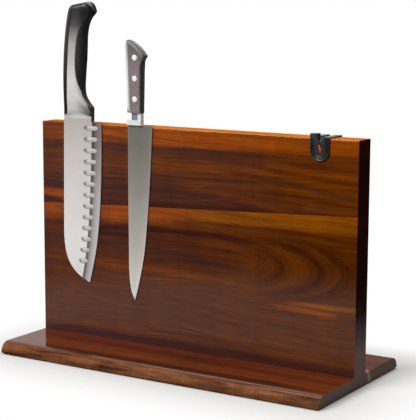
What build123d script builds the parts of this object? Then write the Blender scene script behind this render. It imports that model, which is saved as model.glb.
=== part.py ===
from build123d import *
import os

# Double-sided magnetic knife board: an upright laminated board on a flat base, a sharpener let into
# the board's top edge, and two knives held flat on the front face by magnets behind a thin wood skin.
# Millimetres, +Z up. X runs along the board and the front faces -Y. The origin is on the surface
# that the feet stand on, under the middle of the base.

os.makedirs("parts", exist_ok=True)

# Board and base
board_width = 394.0
board_height = 240.0
board_thickness = 26.0
base_depth = 183.0
base_thickness = 12.0
foot_height = 1.6
base_round = 11.4  # the long top edges of the base are rounded almost through its thickness
edge_ease = 0.8  # small round on the board's long top edges
seam_left = 147.5  # height of the slanted stave joint above the base, at the left end
seam_right = 164.0
base_joint_y = 18.0  # glue joint between the two base staves

half_width = board_width / 2
half_depth = base_depth / 2
panel = board_thickness / 2
base_top = foot_height + base_thickness
board_top = base_top + board_height

# Magnets, behind a wood skin of panel - keeper / 2 - magnet_thick
magnet_radius = 12.5
magnet_thick = 9.0
magnet_count = 10
magnet_pitch = 38.0
magnet_rows = {"lower": base_top + 78.0, "upper": base_top + 188.0}
keeper_thick = 2.0
keeper_height = 22.0
keeper_end_gap = 0.5
fit_gap = 0.2  # glue gap round pieces let into wood
hole_play = 0.05  # what a bored hole has over its pin, on the radius

# Fasteners between base and board
screw_radius = 2.4
screw_length = 46.0
screw_head_radius = 4.6
screw_head_height = 2.6
screw_head_play = 0.1
screw_point = 6.0
recess_length = 5.0  # cross recess in each screw's head
recess_width = 1.0
recess_depth = 2.6
screw_places = [(-150, -panel / 2), (-50, panel / 2), (50, -panel / 2), (150, panel / 2)]
dowel_radius = 4.0
dowel_length = 24.0
dowel_places = [(-100, -panel / 2), (-100, panel / 2), (100, -panel / 2), (100, panel / 2)]
dowel_in_base = 8.0
dowel_end_gap = 0.5
dowel_bevel = 0.6
foot_radius = 8.0
foot_let_in = 1.4
foot_inset = 22.0
foot_edge = 0.6

# Sharpener, a U-shaped insert
sharpener_x = 154.3
sharpener_radius = 10.7
sharpener_bottom = board_top - 22.9
sharpener_plate = 7.0  # depth let into each face of the board
sharpener_proud = 1.5  # how far each housing stands out of the face
web_slot_width = 5.0
web_slot_bottom = board_top - 16.0
wing_floor = board_top - 3.6
wing_low = 1.6  # wing height above the board
wing_high = 4.6
bar_width = 2.0
bar_depth = 3.0
bar_tilt = 25.0
bar_cross = board_top - 4.1
bar_up = 5.2
bar_down = 9.5
bar_play = 0.1
bar_set_back = 1.9  # from the housing's front face to the front bar
groove_depth = 0.6
grooves = [(9.4, 8.8), (7.6, 7.0)]  # outer and inner radius of each groove round the U
# Outlines from the middle of the board's top edge: the notch that takes a knife's edge, and the
# window under the crossed bars
notch = [(0, -5.2), (3.1, 0), (3.3, 6), (-3.3, 6), (-3.1, 0)]
window = [(-0.6, -4.8), (2.2, -10), (0.4, -15.6), (-2.2, -10)]
sharpener_screw_radius = 1.25
sharpener_screw_length = 26.0
sharpener_screw_skin = 2.5  # plastic left in front of the screw's point
sharpener_screw_z = sharpener_bottom + sharpener_screw_radius + 1.6

# Knives: both lie a hair off the board, with their blades upright and tips down
knife_gap = 0.2
santoku_thick = 2.0
slicer_thick = 1.8
santoku_y = -panel - knife_gap - santoku_thick / 2
slicer_y = -panel - knife_gap - slicer_thick / 2
santoku_handle_thick = 18.0
slicer_handle_thick = 13.0
santoku_handle_round = 5.5
santoku_handle_foot = 266.0
santoku_collar_x = -145.9
santoku_collar = [(259.6, 38.2, 5.0, 2.0), (266.0, 37.4, 16.0, 5.0)]  # height, width, depth, corner
santoku_tang = (-154.0, -144.0, 366.0)  # left, right, top
guard_middle = (-125.4, 262.8)  # a bar of the soft grip that reaches down to the heel
guard_size = (2.4, 8.0, 14.0)
# The slicer's bolster block and its neck: middle, bottom, width, depth, height, corner
slicer_collar = [(-68.9, 255.4, 19.0, 9.0, 5.6, 1.5), (-65.7, 261.0, 12.8, 7.5, 7.5, 1.2)]
scale_round = 1.6
plate_thick = 1.6
rivet_radius = 3.15
rivet_bevel = 0.25
slicer_rivets = [(-66.4, 283.6), (-66.4, 305.8), (-66.4, 328.0)]
pin_radius = 2.0
santoku_pins = [(-149.0, 300.0), (-149.0, 345.0)]


def save(part, name):
    part.label = name
    export_step(part, f"parts/{name}.step")


def seam_height(x):
    return base_top + seam_left + (seam_right - seam_left) * (x + half_width) / board_width


def u_shape(radius, top):
    # A round-bottomed slot outline, centred on the sharpener and open to the height given
    centre_z = sharpener_bottom + sharpener_radius
    with BuildSketch() as shape:
        with BuildLine():
            Polyline((sharpener_x - radius, centre_z), (sharpener_x - radius, top),
                     (sharpener_x + radius, top), (sharpener_x + radius, centre_z))
            ThreePointArc((sharpener_x + radius, centre_z), (sharpener_x, centre_z - radius),
                          (sharpener_x - radius, centre_z))
        make_face()
    return shape.sketch


# Board staves


def stave(upper, side):
    # One of the four boards that make up the upright: side is 1 for the front, -1 for the rear
    with BuildPart() as board:
        with BuildSketch(Plane.XZ):
            with BuildLine():
                outer = board_top if upper else base_top
                Polyline((-half_width, seam_height(-half_width)), (half_width, seam_height(half_width)),
                         (half_width, outer), (-half_width, outer), close=True)
            make_face()
        extrude(amount=side * panel)
        row = magnet_rows["upper" if upper else "lower"]
        with BuildSketch(Plane.XZ):
            with Locations((0, row)):
                Rectangle(magnet_pitch * magnet_count, keeper_height + 2 * fit_gap)
        extrude(amount=side * keeper_thick / 2, mode=Mode.SUBTRACT)
        with BuildSketch(Plane.XZ):
            with Locations((0, row)):
                with GridLocations(magnet_pitch, 0, magnet_count, 1):
                    Circle(magnet_radius + fit_gap)
        extrude(amount=side * (keeper_thick / 2 + magnet_thick + fit_gap), mode=Mode.SUBTRACT)
        if upper:
            outer_edges = board.edges().filter_by(Axis.X).group_by(Axis.Z)[-1].sort_by(Axis.Y)
            fillet(outer_edges[0] if side > 0 else outer_edges[-1], edge_ease)
            with BuildSketch(Plane.XZ.offset(side * (panel - sharpener_plate))):
                add(u_shape(sharpener_radius + fit_gap / 2, board_top + 1))
            extrude(amount=side * sharpener_plate, mode=Mode.SUBTRACT)
            with BuildSketch(Plane.XZ):
                with Locations((sharpener_x, board_top)):
                    Rectangle(2 * sharpener_radius + fit_gap, 2 * (board_top - wing_floor))
                with Locations((sharpener_x, board_top)):
                    Rectangle(web_slot_width, 2 * (board_top - web_slot_bottom))
            extrude(amount=side * panel, mode=Mode.SUBTRACT)
            with BuildSketch(Plane.XZ):
                with Locations((sharpener_x, sharpener_screw_z)):
                    Circle(sharpener_screw_radius + hole_play)
            extrude(amount=side * panel, mode=Mode.SUBTRACT)
        else:
            half = [(x, y) for x, y in screw_places if y * side < 0]
            with BuildSketch(Plane.XY.offset(base_top)):
                with Locations(*half):
                    Circle(screw_radius + hole_play)
            extrude(amount=screw_length - base_thickness, mode=Mode.SUBTRACT)
            half = [(x, y) for x, y in dowel_places if y * side < 0]
            with BuildSketch(Plane.XY.offset(base_top)):
                with Locations(*half):
                    Circle(dowel_radius + hole_play)
            extrude(amount=dowel_length - dowel_in_base + dowel_end_gap, mode=Mode.SUBTRACT)
    return board.part


save(stave(True, 1), "front_upper_stave")
save(stave(False, 1), "front_lower_stave")
save(stave(True, -1), "rear_upper_stave")
save(stave(False, -1), "rear_lower_stave")

# Magnets and keeper strips


def magnet_row(height, side):
    with BuildPart() as row:
        with BuildSketch(Plane.XZ.offset(side * keeper_thick / 2)):
            with Locations((0, height)):
                with GridLocations(magnet_pitch, 0, magnet_count, 1):
                    Circle(magnet_radius)
        extrude(amount=side * magnet_thick)
    return row.part


for row_name, row_height in magnet_rows.items():
    save(magnet_row(row_height, 1), f"front_{row_name}_magnets")
    save(magnet_row(row_height, -1), f"rear_{row_name}_magnets")
    with BuildPart() as keeper:
        with BuildSketch(Plane.XZ.offset(-keeper_thick / 2)):
            with Locations((0, row_height)):
                Rectangle(magnet_pitch * magnet_count - 2 * keeper_end_gap, keeper_height)
        extrude(amount=keeper_thick)
    save(keeper.part, f"{row_name}_keeper_strip")

# Base


def base_stave(y_joint, y_edge):
    # A base board from the glue joint out to a long edge, whose top corner is rounded
    out = 1 if y_edge > y_joint else -1
    with BuildPart() as board:
        with BuildSketch(Plane.YZ.offset(-half_width)):
            with BuildLine():
                Polyline((y_edge, foot_height + base_thickness - base_round), (y_edge, foot_height),
                         (y_joint, foot_height), (y_joint, base_top),
                         (y_edge - out * base_round, base_top))
                RadiusArc((y_edge - out * base_round, base_top),
                          (y_edge, base_top - base_round), out * base_round)
            make_face()
        extrude(amount=board_width)
        low, high = sorted((y_joint, y_edge))
        screws = [(x, y) for x, y in screw_places if low < y < high]
        dowels = [(x, y) for x, y in dowel_places if low < y < high]
        foot_y = y_edge - out * foot_inset
        with BuildSketch(Plane.XY.offset(foot_height)):
            with Locations((-half_width + foot_inset, foot_y), (half_width - foot_inset, foot_y)):
                Circle(foot_radius + fit_gap)
        extrude(amount=foot_let_in, mode=Mode.SUBTRACT)
        if screws:
            with BuildSketch(Plane.XY.offset(foot_height)):
                with Locations(*screws):
                    Circle(screw_radius + hole_play)
            extrude(amount=base_thickness, mode=Mode.SUBTRACT)
            for x, y in screws:
                with Locations((x, y, foot_height)):
                    Cone(screw_head_radius + screw_head_play, screw_radius + hole_play, screw_head_height,
                         align=(Align.CENTER, Align.CENTER, Align.MIN), mode=Mode.SUBTRACT)
            with BuildSketch(Plane.XY.offset(base_top - dowel_in_base)):
                with Locations(*dowels):
                    Circle(dowel_radius + hole_play)
            extrude(amount=dowel_in_base, mode=Mode.SUBTRACT)
    return board.part


save(base_stave(base_joint_y, -half_depth), "base_front_stave")
save(base_stave(base_joint_y, half_depth), "base_rear_stave")

with BuildPart() as feet:
    with BuildSketch(Plane.XY):
        with GridLocations(board_width - 2 * foot_inset, base_depth - 2 * foot_inset, 2, 2):
            Circle(foot_radius)
    extrude(amount=foot_height + foot_let_in)
    fillet(feet.edges().group_by(Axis.Z)[0], foot_edge)
save(feet.part, "rubber_feet")

with BuildPart() as screws:
    for x, y in screw_places:
        with BuildSketch(Plane.XZ.offset(-y)):
            with BuildLine():
                Polyline((x, foot_height), (x + screw_head_radius, foot_height),
                         (x + screw_radius, foot_height + screw_head_height),
                         (x + screw_radius, foot_height + screw_length - screw_point),
                         (x, foot_height + screw_length), close=True)
            make_face()
        revolve(axis=Axis((x, y, 0), (0, 0, 1)))
        for turn in (0, 90):
            with Locations(Location((x, y, foot_height), (0, 0, turn))):
                Box(recess_length, recess_width, recess_depth, mode=Mode.SUBTRACT)
save(screws.part, "base_screws")

with BuildPart() as dowels:
    with BuildSketch(Plane.XY.offset(base_top - dowel_in_base)):
        with Locations(*dowel_places):
            Circle(dowel_radius)
    extrude(amount=dowel_length)
    chamfer(dowels.edges(), dowel_bevel)
save(dowels.part, "locating_dowels")

# Sharpener


def crossed_bar(tilt, y_front, grow):
    # A square-edged hard bar through the crossing point, leaning by the tilt given
    middle = (bar_up - bar_down) / 2
    size = (bar_width + grow, bar_depth + grow, bar_up + bar_down + grow)
    bar = Box(*size, mode=Mode.PRIVATE)
    where = Pos(sharpener_x, y_front + bar_depth / 2, bar_cross) * Rot(0, tilt, 0) * Pos(0, 0, middle)
    return where * bar


bar_front_y = -panel - sharpener_proud + bar_set_back
bar_rear_y = bar_front_y + bar_depth + bar_play


def housing(side):
    face = panel + sharpener_proud
    with BuildPart() as body:
        with BuildSketch(Plane.XZ.offset(side * (panel - sharpener_plate))):
            add(u_shape(sharpener_radius, board_top + wing_low))
        extrude(amount=side * (sharpener_plate + sharpener_proud))
        with BuildSketch(Plane.XZ):
            with Locations((sharpener_x, (wing_floor + board_top + wing_low) / 2)):
                Rectangle(2 * sharpener_radius, board_top + wing_low - wing_floor)
        extrude(amount=side * panel)
        if side > 0:
            with BuildSketch(Plane.XZ.offset(panel - sharpener_plate)):
                with Locations((sharpener_x - sharpener_radius / 2, board_top + wing_high / 2)):
                    Rectangle(sharpener_radius, wing_high)
            extrude(amount=sharpener_plate + sharpener_proud)
        # Ribs round the U, left standing between shallow grooves
        for outer, inner in grooves:
            with BuildSketch(Plane.XZ.offset(side * (face - groove_depth))):
                add(u_shape(outer, board_top - 1))
                add(u_shape(inner, board_top - 1), mode=Mode.SUBTRACT)
            extrude(amount=side * groove_depth, mode=Mode.SUBTRACT)
        with BuildSketch(Plane.XZ):
            for outline in (notch, window):
                with BuildLine():
                    Polyline([(sharpener_x + x, board_top + z) for x, z in outline], close=True)
                make_face()
        extrude(amount=side * face, mode=Mode.SUBTRACT)
        with BuildSketch(Plane.XZ):
            with Locations((sharpener_x, sharpener_screw_z)):
                Circle(sharpener_screw_radius + hole_play)
        extrude(amount=side * (face - (sharpener_screw_skin if side > 0 else 0)), mode=Mode.SUBTRACT)
        if side > 0:
            add(crossed_bar(bar_tilt, bar_front_y, bar_play), mode=Mode.SUBTRACT)
            add(crossed_bar(-bar_tilt, bar_rear_y, bar_play), mode=Mode.SUBTRACT)
    return body.part


save(housing(1), "sharpener_front_housing")
save(housing(-1), "sharpener_rear_housing")

with BuildPart() as front_bar:
    add(crossed_bar(bar_tilt, bar_front_y, 0))
save(front_bar.part, "sharpener_front_bar")

with BuildPart() as rear_bar:
    add(crossed_bar(-bar_tilt, bar_rear_y, 0))
save(rear_bar.part, "sharpener_rear_bar")

with BuildPart() as sharpener_screw:
    with BuildSketch(Plane.XZ.offset(-panel - sharpener_proud)):
        with Locations((sharpener_x, sharpener_screw_z)):
            Circle(sharpener_screw_radius)
    extrude(amount=sharpener_screw_length)
save(sharpener_screw.part, "sharpener_screw")

# Santoku


def santoku_handle_solid():
    with BuildPart() as solid:
        with BuildSketch(Plane.XZ.offset(-santoku_y - santoku_handle_thick / 2)):
            with BuildLine():
                Spline((-164.6, santoku_handle_foot), (-163.6, 310), (-159.4, 354), (-153.5, 379.4))
                Spline((-153.5, 379.4), (-143, 384.6), (-126.5, 387))
                Polyline((-126.5, 387), (-119.6, 375.5))
                Spline((-119.6, 375.5), (-127.2, 366), (-131.6, 343), (-134.6, 305),
                       (-136, 291), (-130.2, 277), (-124.2, 271))
                Polyline((-124.2, 271), (-124.2, santoku_handle_foot), (-164.6, santoku_handle_foot))
            make_face()
        extrude(amount=santoku_handle_thick)
        long_edges = solid.edges().filter_by(Plane.XZ)
        fillet(long_edges.filter_by(lambda edge: edge.center().Z > santoku_handle_foot + 2),
               santoku_handle_round)
    return solid.part


santoku_handle = santoku_handle_solid()

with BuildPart() as santoku_blade:
    with BuildSketch(Plane.XZ.offset(-santoku_y - santoku_thick / 2)):
        with BuildLine():
            Polyline((-154, 366), (-154, 266), (-165, 262), (-165.1, 255), (-166.4, 150))
            Spline((-166.4, 150), (-166.6, 118), (-155.1, 90.1), (-131.5, 75.2))
            Spline((-131.5, 75.2), (-120.5, 124.3), (-114.9, 192), (-113.8, 254.6))
            Polyline((-113.8, 254.6), (-127.2, 255.6), (-127.2, 262), (-144, 266), (-144, 366),
                     (-154, 366))
        make_face()
    extrude(amount=santoku_thick)
    with BuildSketch(Plane.XZ.offset(-santoku_y - santoku_thick / 2)):
        with Locations(*santoku_pins):
            Circle(pin_radius + hole_play)
    extrude(amount=santoku_thick, mode=Mode.SUBTRACT)
save(santoku_blade.part, "santoku_blade")

with BuildPart() as santoku_bolster:
    for height, width, depth, corner in santoku_collar:
        with BuildSketch(Plane.XY.offset(height)):
            with Locations((santoku_collar_x, santoku_y)):
                RectangleRounded(width, depth, corner)
    loft()
    with BuildSketch(Plane.XZ.offset(-santoku_y - santoku_thick / 2)):
        with BuildLine():
            Polyline((-154, 267), (-154, 266), (-165, 262), (-165.1, 255), (-127.2, 255),
                     (-127.2, 262), (-144, 266), (-144, 267), close=True)
        make_face()
    extrude(amount=santoku_thick, mode=Mode.SUBTRACT)
save(santoku_bolster.part, "santoku_bolster")

# All that lies on the belly side of the curve where the soft grip meets the steel side panels
with BuildPart() as grip_block:
    with BuildSketch(Plane.XZ.offset(-santoku_y - santoku_handle_thick)):
        with BuildLine():
            Spline((-108, 377), (-125.2, 370.9), (-137, 355.9), (-142.4, 330), (-142.4, 306.7),
                   (-138.6, 289.7), (-133, 278), (-127, 269))
            Polyline((-127, 269), (-127, 262), (-100, 262), (-100, 377), (-108, 377))
        make_face()
    extrude(amount=2 * santoku_handle_thick)

santoku_front = santoku_y - santoku_handle_thick / 2


def side_plate(y_outer, inward):
    with BuildPart() as plate:
        with BuildSketch(Plane.XZ.offset(-y_outer)):
            with BuildLine():
                Polyline((-157.5, 268), (-153, 320), (-149.5, 366), (-145, 380.2))
                Spline((-145, 380.2), (-138, 382), (-129, 382.4))
                Polyline((-129, 382.4), (-126, 372), (-128, 330), (-131, 268), (-157.5, 268))
            make_face()
        extrude(amount=-inward * plate_thick)
        add(grip_block.part, mode=Mode.SUBTRACT)
    return plate.part


santoku_front_plate = side_plate(santoku_front, 1)
santoku_rear_plate = side_plate(santoku_front + santoku_handle_thick, -1)
save(santoku_front_plate, "santoku_front_plate")
save(santoku_rear_plate, "santoku_rear_plate")

with BuildPart() as santoku_core:
    add(santoku_handle)
    add(grip_block.part, mode=Mode.SUBTRACT)
    add(santoku_front_plate, mode=Mode.SUBTRACT)
    add(santoku_rear_plate, mode=Mode.SUBTRACT)
    with BuildSketch(Plane.XZ.offset(-santoku_y - santoku_thick / 2)):
        left, right, top = santoku_tang
        with Locations(((left + right) / 2, (santoku_handle_foot + top) / 2)):
            Rectangle(right - left, top - santoku_handle_foot)
    extrude(amount=santoku_thick, mode=Mode.SUBTRACT)
    with BuildSketch(Plane.XZ.offset(-santoku_y - santoku_handle_thick / 2 + plate_thick)):
        with Locations(*santoku_pins):
            Circle(pin_radius + hole_play)
    extrude(amount=santoku_handle_thick - 2 * plate_thick, mode=Mode.SUBTRACT)
save(santoku_core.part, "santoku_handle_core")

with BuildPart() as santoku_grip:
    add(santoku_handle)
    add(grip_block.part, mode=Mode.INTERSECT)
    with BuildSketch(Plane.XZ.offset(-santoku_y - guard_size[1] / 2)):
        with Locations(guard_middle):
            Rectangle(guard_size[0], guard_size[2])
    extrude(amount=guard_size[1])
save(santoku_grip.part, "santoku_belly_grip")

with BuildPart() as santoku_rivets:
    with BuildSketch(Plane.XZ.offset(-santoku_y - santoku_handle_thick / 2 + plate_thick)):
        with Locations(*santoku_pins):
            Circle(pin_radius)
    extrude(amount=santoku_handle_thick - 2 * plate_thick)
save(santoku_rivets.part, "santoku_tang_pins")

# Slicer

with BuildPart() as slicer_blade:
    with BuildSketch(Plane.XZ.offset(-slicer_y - slicer_thick / 2)):
        with BuildLine():
            Polyline((-72, 268.5), (-72, 254.5), (-78.3, 254.5), (-77.6, 124.6))
            Spline((-77.6, 124.6), (-77.1, 92), (-69.7, 62.3))
            Spline((-69.7, 62.3), (-57.9, 113.8), (-50.3, 190), (-46.7, 254.5))
            Polyline((-46.7, 254.5), (-59.4, 254.5), (-59.4, 268.5), (-58.9, 268.5),
                     (-58.2, 300), (-57.6, 321))
            Spline((-57.6, 321), (-56.2, 326), (-53.4, 330))
            Spline((-53.4, 330), (-64, 340.5), (-76, 347))
            Polyline((-76, 347), (-79.4, 345), (-78.9, 268.5), (-72, 268.5))
        make_face()
    extrude(amount=slicer_thick)
    with BuildSketch(Plane.XZ.offset(-slicer_y - slicer_thick / 2)):
        with Locations(*slicer_rivets):
            Circle(rivet_radius + hole_play)
    extrude(amount=slicer_thick, mode=Mode.SUBTRACT)
save(slicer_blade.part, "slicer_blade")

with BuildPart() as slicer_bolster:
    for middle, bottom, width, depth, height, corner in slicer_collar:
        with BuildSketch(Plane.XY.offset(bottom)):
            with Locations((middle, slicer_y)):
                RectangleRounded(width, depth, corner)
        extrude(amount=height)
    with BuildSketch(Plane.XZ.offset(-slicer_y - slicer_thick / 2)):
        with BuildLine():
            Polyline((-72, 269), (-72, 254.5), (-59.4, 254.5), (-59.4, 269), close=True)
        make_face()
    extrude(amount=slicer_thick, mode=Mode.SUBTRACT)
save(slicer_bolster.part, "slicer_bolster")


def scale(side):
    # A wood scale: the tang shows past it along the spine
    cheek = (slicer_handle_thick - slicer_thick) / 2
    with BuildPart() as wood:
        with BuildSketch(Plane.XZ.offset(-slicer_y + side * slicer_thick / 2)):
            with BuildLine():
                Spline((-73.5, 268.7), (-76.2, 274), (-77.2, 283))
                Polyline((-77.2, 283), (-77.8, 345), (-75.8, 346.4))
                Spline((-75.8, 346.4), (-64, 340.2), (-53.9, 330))
                Spline((-53.9, 330), (-56.6, 326), (-58, 321))
                Polyline((-58, 321), (-58.5, 300), (-59.2, 268.7), (-73.5, 268.7))
            make_face()
        extrude(amount=side * cheek)
        face = wood.faces().sort_by(Axis.Y)[0 if side > 0 else -1]
        fillet(face.edges(), scale_round)
        with BuildSketch(Plane.XZ.offset(-slicer_y + side * slicer_thick / 2)):
            with Locations(*slicer_rivets):
                Circle(rivet_radius + hole_play)
        extrude(amount=side * cheek, mode=Mode.SUBTRACT)
    return wood.part


save(scale(1), "slicer_front_scale")
save(scale(-1), "slicer_rear_scale")

with BuildPart() as rivets:
    with BuildSketch(Plane.XZ.offset(-slicer_y - slicer_handle_thick / 2)):
        with Locations(*slicer_rivets):
            Circle(rivet_radius)
    extrude(amount=slicer_handle_thick)
    chamfer(rivets.edges(), rivet_bevel)
save(rivets.part, "slicer_rivets")
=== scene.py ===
import math
import bmesh
import bpy
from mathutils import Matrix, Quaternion, Vector


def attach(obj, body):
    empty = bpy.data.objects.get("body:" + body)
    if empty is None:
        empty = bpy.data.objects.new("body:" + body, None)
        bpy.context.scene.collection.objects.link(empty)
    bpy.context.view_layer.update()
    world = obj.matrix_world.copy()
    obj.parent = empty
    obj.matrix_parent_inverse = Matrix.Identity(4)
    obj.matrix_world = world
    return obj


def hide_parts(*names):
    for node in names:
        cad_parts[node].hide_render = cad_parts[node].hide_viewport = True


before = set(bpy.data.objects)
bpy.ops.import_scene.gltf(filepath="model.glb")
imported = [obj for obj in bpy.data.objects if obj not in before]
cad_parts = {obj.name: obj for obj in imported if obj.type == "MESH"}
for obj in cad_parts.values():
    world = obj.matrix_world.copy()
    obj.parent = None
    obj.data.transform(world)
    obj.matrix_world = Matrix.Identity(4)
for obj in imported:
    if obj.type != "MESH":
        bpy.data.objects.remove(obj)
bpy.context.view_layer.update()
mm = 0.001
print("frame loaded")


# a colour given the way a paint program shows it, 0 to 255
def tint(red, green, blue):
    def linear(value):
        value = value / 255
        return value / 12.92 if value <= 0.04045 else ((value + 0.055) / 1.055) ** 2.4
    return (linear(red), linear(green), linear(blue), 1.0)


studio = {
    "azimuth": 31.795, "elevation": 8.81, "roll": 0.244,  # degrees
    "distance": 1.439, "lens": 115.75, "aim": (0.0152, 0.0, 0.168), "softboxAim": (0, 0, 0.15),
    "key": {"place": (-0.9, -1.75, 1.75), "size": (1.4, 1.0), "power": 62.0},
    "top": {"place": (0.1, 0.3, 1.6), "size": (1.6, 1.2), "power": 26.0},
    "front": {"place": (-0.25, -2.0, 1.5), "size": (1.2, 0.8), "power": 8.0},
    "airSeen": 1.0, "airDiffuse": 0.22, "airBright": 0.62, "airDark": 0.006,
    "airTurn": (0.25, -0.35),  # from right to left, where the air that gloss sees turns from dark to bright
    "floorHalf": 9.0, "floorTone": (0.55, 0.54, 0.53, 1), "floorBounce": (0.3, 0.3, 0.3, 1),
    "floorGloss": (0.23, 0.004), "floorFade": (0.36, 0.58),  # what gloss sees, and the metres it fades over
    "foot": (0.197, 0.0915), "shade": (0.004, 0.085),  # half the base, and how far the soft shade runs out
}


def link(made):
    bpy.context.scene.collection.objects.link(made)
    return made


def makeCamera():
    data = bpy.data.cameras.new("studioCamera")
    data.lens = studio["lens"]
    data.sensor_width = 36
    camera = link(bpy.data.objects.new("studioCamera", data))
    turn, rise = math.radians(studio["azimuth"]), math.radians(studio["elevation"])
    back = Vector((math.sin(turn) * math.cos(rise), -math.cos(turn) * math.cos(rise), math.sin(rise)))
    camera.location = Vector(studio["aim"]) + back * studio["distance"]
    camera.rotation_mode = "QUATERNION"
    level = (-back).to_track_quat("-Z", "Y")
    camera.rotation_quaternion = level @ Quaternion((0, 0, 1), math.radians(studio["roll"]))
    bpy.context.scene.camera = camera


def makeSoftbox(name):
    facts = studio[name]
    data = bpy.data.lights.new(name + "Softbox", "AREA")
    data.shape = "RECTANGLE"
    data.size, data.size_y = facts["size"]
    data.energy = facts["power"]
    box = link(bpy.data.objects.new(name + "Softbox", data))
    box.location = facts["place"]
    aim = Vector(studio["softboxAim"]) - Vector(facts["place"])
    box.rotation_euler = aim.to_track_quat("-Z", "Y").to_euler()


# a node with its settings, its inputs set or linked
def addNode(tree, kind, inputs=None, **settings):
    made = tree.nodes.new(kind)
    for key, value in settings.items():
        setattr(made, key, value)
    for key, value in (inputs or {}).items():
        feed(tree, made.inputs[key], value)
    return made


def feed(tree, socket, value):
    if isinstance(value, bpy.types.NodeSocket):
        tree.links.new(value, socket)
    else:
        socket.default_value = value


def reckon(tree, operation, *values):
    made = tree.nodes.new("ShaderNodeMath")
    made.operation = operation
    for socket, value in zip(made.inputs, values):
        feed(tree, socket, value)
    return made.outputs[0]


def plus(tree, first, second):
    return reckon(tree, "ADD", first, second)


def minus(tree, first, second):
    return reckon(tree, "SUBTRACT", first, second)


def times(tree, first, second):
    return reckon(tree, "MULTIPLY", first, second)


def ratio(tree, first, second):
    return reckon(tree, "DIVIDE", first, second)


def timesPlus(tree, first, second, third):
    return reckon(tree, "MULTIPLY_ADD", first, second, third)


def absolute(tree, value):
    return reckon(tree, "ABSOLUTE", value)


def held(tree, value, low, high):
    return reckon(tree, "MINIMUM", reckon(tree, "MAXIMUM", value, low), high)


# a value moved from one span to another, held at the ends
def span(tree, value, fromLow, fromHigh, toLow=0.0, toHigh=1.0, smooth=False):
    settings = {"interpolation_type": "SMOOTHSTEP"} if smooth else {}
    made = addNode(tree, "ShaderNodeMapRange", {"Value": value, "From Min": fromLow, "From Max": fromHigh,
                   "To Min": toLow, "To Max": toHigh}, **settings)
    return made.outputs["Result"]


# the same with soft ends
def ease(tree, value, fromLow, fromHigh, toLow=0.0, toHigh=1.0):
    return span(tree, value, fromLow, fromHigh, toLow, toHigh, True)


def blend(tree, factor, first, second, way="MIX"):
    made = addNode(tree, "ShaderNodeMix", {}, data_type="RGBA", blend_type=way)
    for number, value in ((0, factor), (6, first), (7, second)):
        feed(tree, made.inputs[number], value)
    return made.outputs[2]


def darken(tree, first, second):
    return blend(tree, 1.0, first, second, "MULTIPLY")


def parts(tree, vector):
    return addNode(tree, "ShaderNodeSeparateXYZ", {0: vector}).outputs


def vectorOf(tree, x=0.0, y=0.0, z=0.0):
    return addNode(tree, "ShaderNodeCombineXYZ", {0: x, 1: y, 2: z}).outputs[0]


def greyOf(tree, value):
    return addNode(tree, "ShaderNodeCombineColor", {0: value, 1: value, 2: value}).outputs[0]


def shifted(tree, first, second, way="ADD"):
    return addNode(tree, "ShaderNodeVectorMath", {0: first, 1: second}, operation=way).outputs[0]


# noise drawn out by a stretch along each axis
def noise(tree, vector, stretch=None, detail=3.0, rough=0.5, scale=1.0):
    place = shifted(tree, vector, stretch, "MULTIPLY") if stretch else vector
    return addNode(tree, "ShaderNodeTexNoise", {"Vector": place, "Scale": scale, "Detail": detail,
                   "Roughness": rough}).outputs["Fac"]


# the air is white to the eye; what gloss sees of it is bright at the back left and dark elsewhere
def makeAir():
    world = bpy.data.worlds.new("studioAir")
    bpy.context.scene.world = world
    world.use_nodes = True
    tree = world.node_tree
    tree.nodes.clear()
    path = addNode(tree, "ShaderNodeLightPath").outputs
    way = parts(tree, addNode(tree, "ShaderNodeTexCoord").outputs["Generated"])
    left = ease(tree, way["X"], *studio["airTurn"])
    bright = span(tree, left, 0, 1, studio["airDark"], studio["airBright"])
    total = times(tree, path["Is Camera Ray"], studio["airSeen"])
    total = plus(tree, total, times(tree, path["Is Glossy Ray"], bright))
    total = plus(tree, total, times(tree, path["Is Diffuse Ray"], studio["airDiffuse"]))
    glow = addNode(tree, "ShaderNodeBackground", {"Color": (1, 1, 1, 1), "Strength": total})
    addNode(tree, "ShaderNodeOutputWorld", {"Surface": glow.outputs[0]})


def makeFloor():
    half = studio["floorHalf"]
    mesh = bpy.data.meshes.new("studioFloor")
    corners = [(-half, -half, 0), (half, -half, 0), (half, half, 0), (-half, half, 0)]
    mesh.from_pydata(corners, [], [(0, 1, 2, 3)])
    floor = link(bpy.data.objects.new("studioFloor", mesh))
    paper = bpy.data.materials.new("studioPaper")
    paper.use_nodes = True
    tree = paper.node_tree
    tree.nodes.clear()
    path = addNode(tree, "ShaderNodeLightPath").outputs
    spot = addNode(tree, "ShaderNodeTexCoord").outputs["Object"]
    away = addNode(tree, "ShaderNodeVectorMath", {0: spot}, operation="LENGTH").outputs["Value"]
    near = ease(tree, away, *studio["floorFade"], *studio["floorGloss"])
    shade = blend(tree, path["Is Glossy Ray"], studio["floorTone"], near)
    shade = blend(tree, path["Is Diffuse Ray"], shade, studio["floorBounce"])
    matt = addNode(tree, "ShaderNodeBsdfDiffuse", {"Color": shade})
    white = addNode(tree, "ShaderNodeEmission", {"Strength": 1.0})
    # the soft shade stays close to the foot and runs out into plain white
    gap = 0.0
    for axis, foot in zip("XY", studio["foot"]):
        over = reckon(tree, "MAXIMUM", minus(tree, absolute(tree, parts(tree, spot)[axis]), foot), 0.0)
        gap = timesPlus(tree, over, over, gap)
    far = times(tree, span(tree, reckon(tree, "SQRT", gap), *studio["shade"]), path["Is Camera Ray"])
    mixed = addNode(tree, "ShaderNodeMixShader", {0: far, 1: matt.outputs[0], 2: white.outputs[0]})
    addNode(tree, "ShaderNodeOutputMaterial", {"Surface": mixed.outputs[0]})
    mesh.materials.append(paper)


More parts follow.
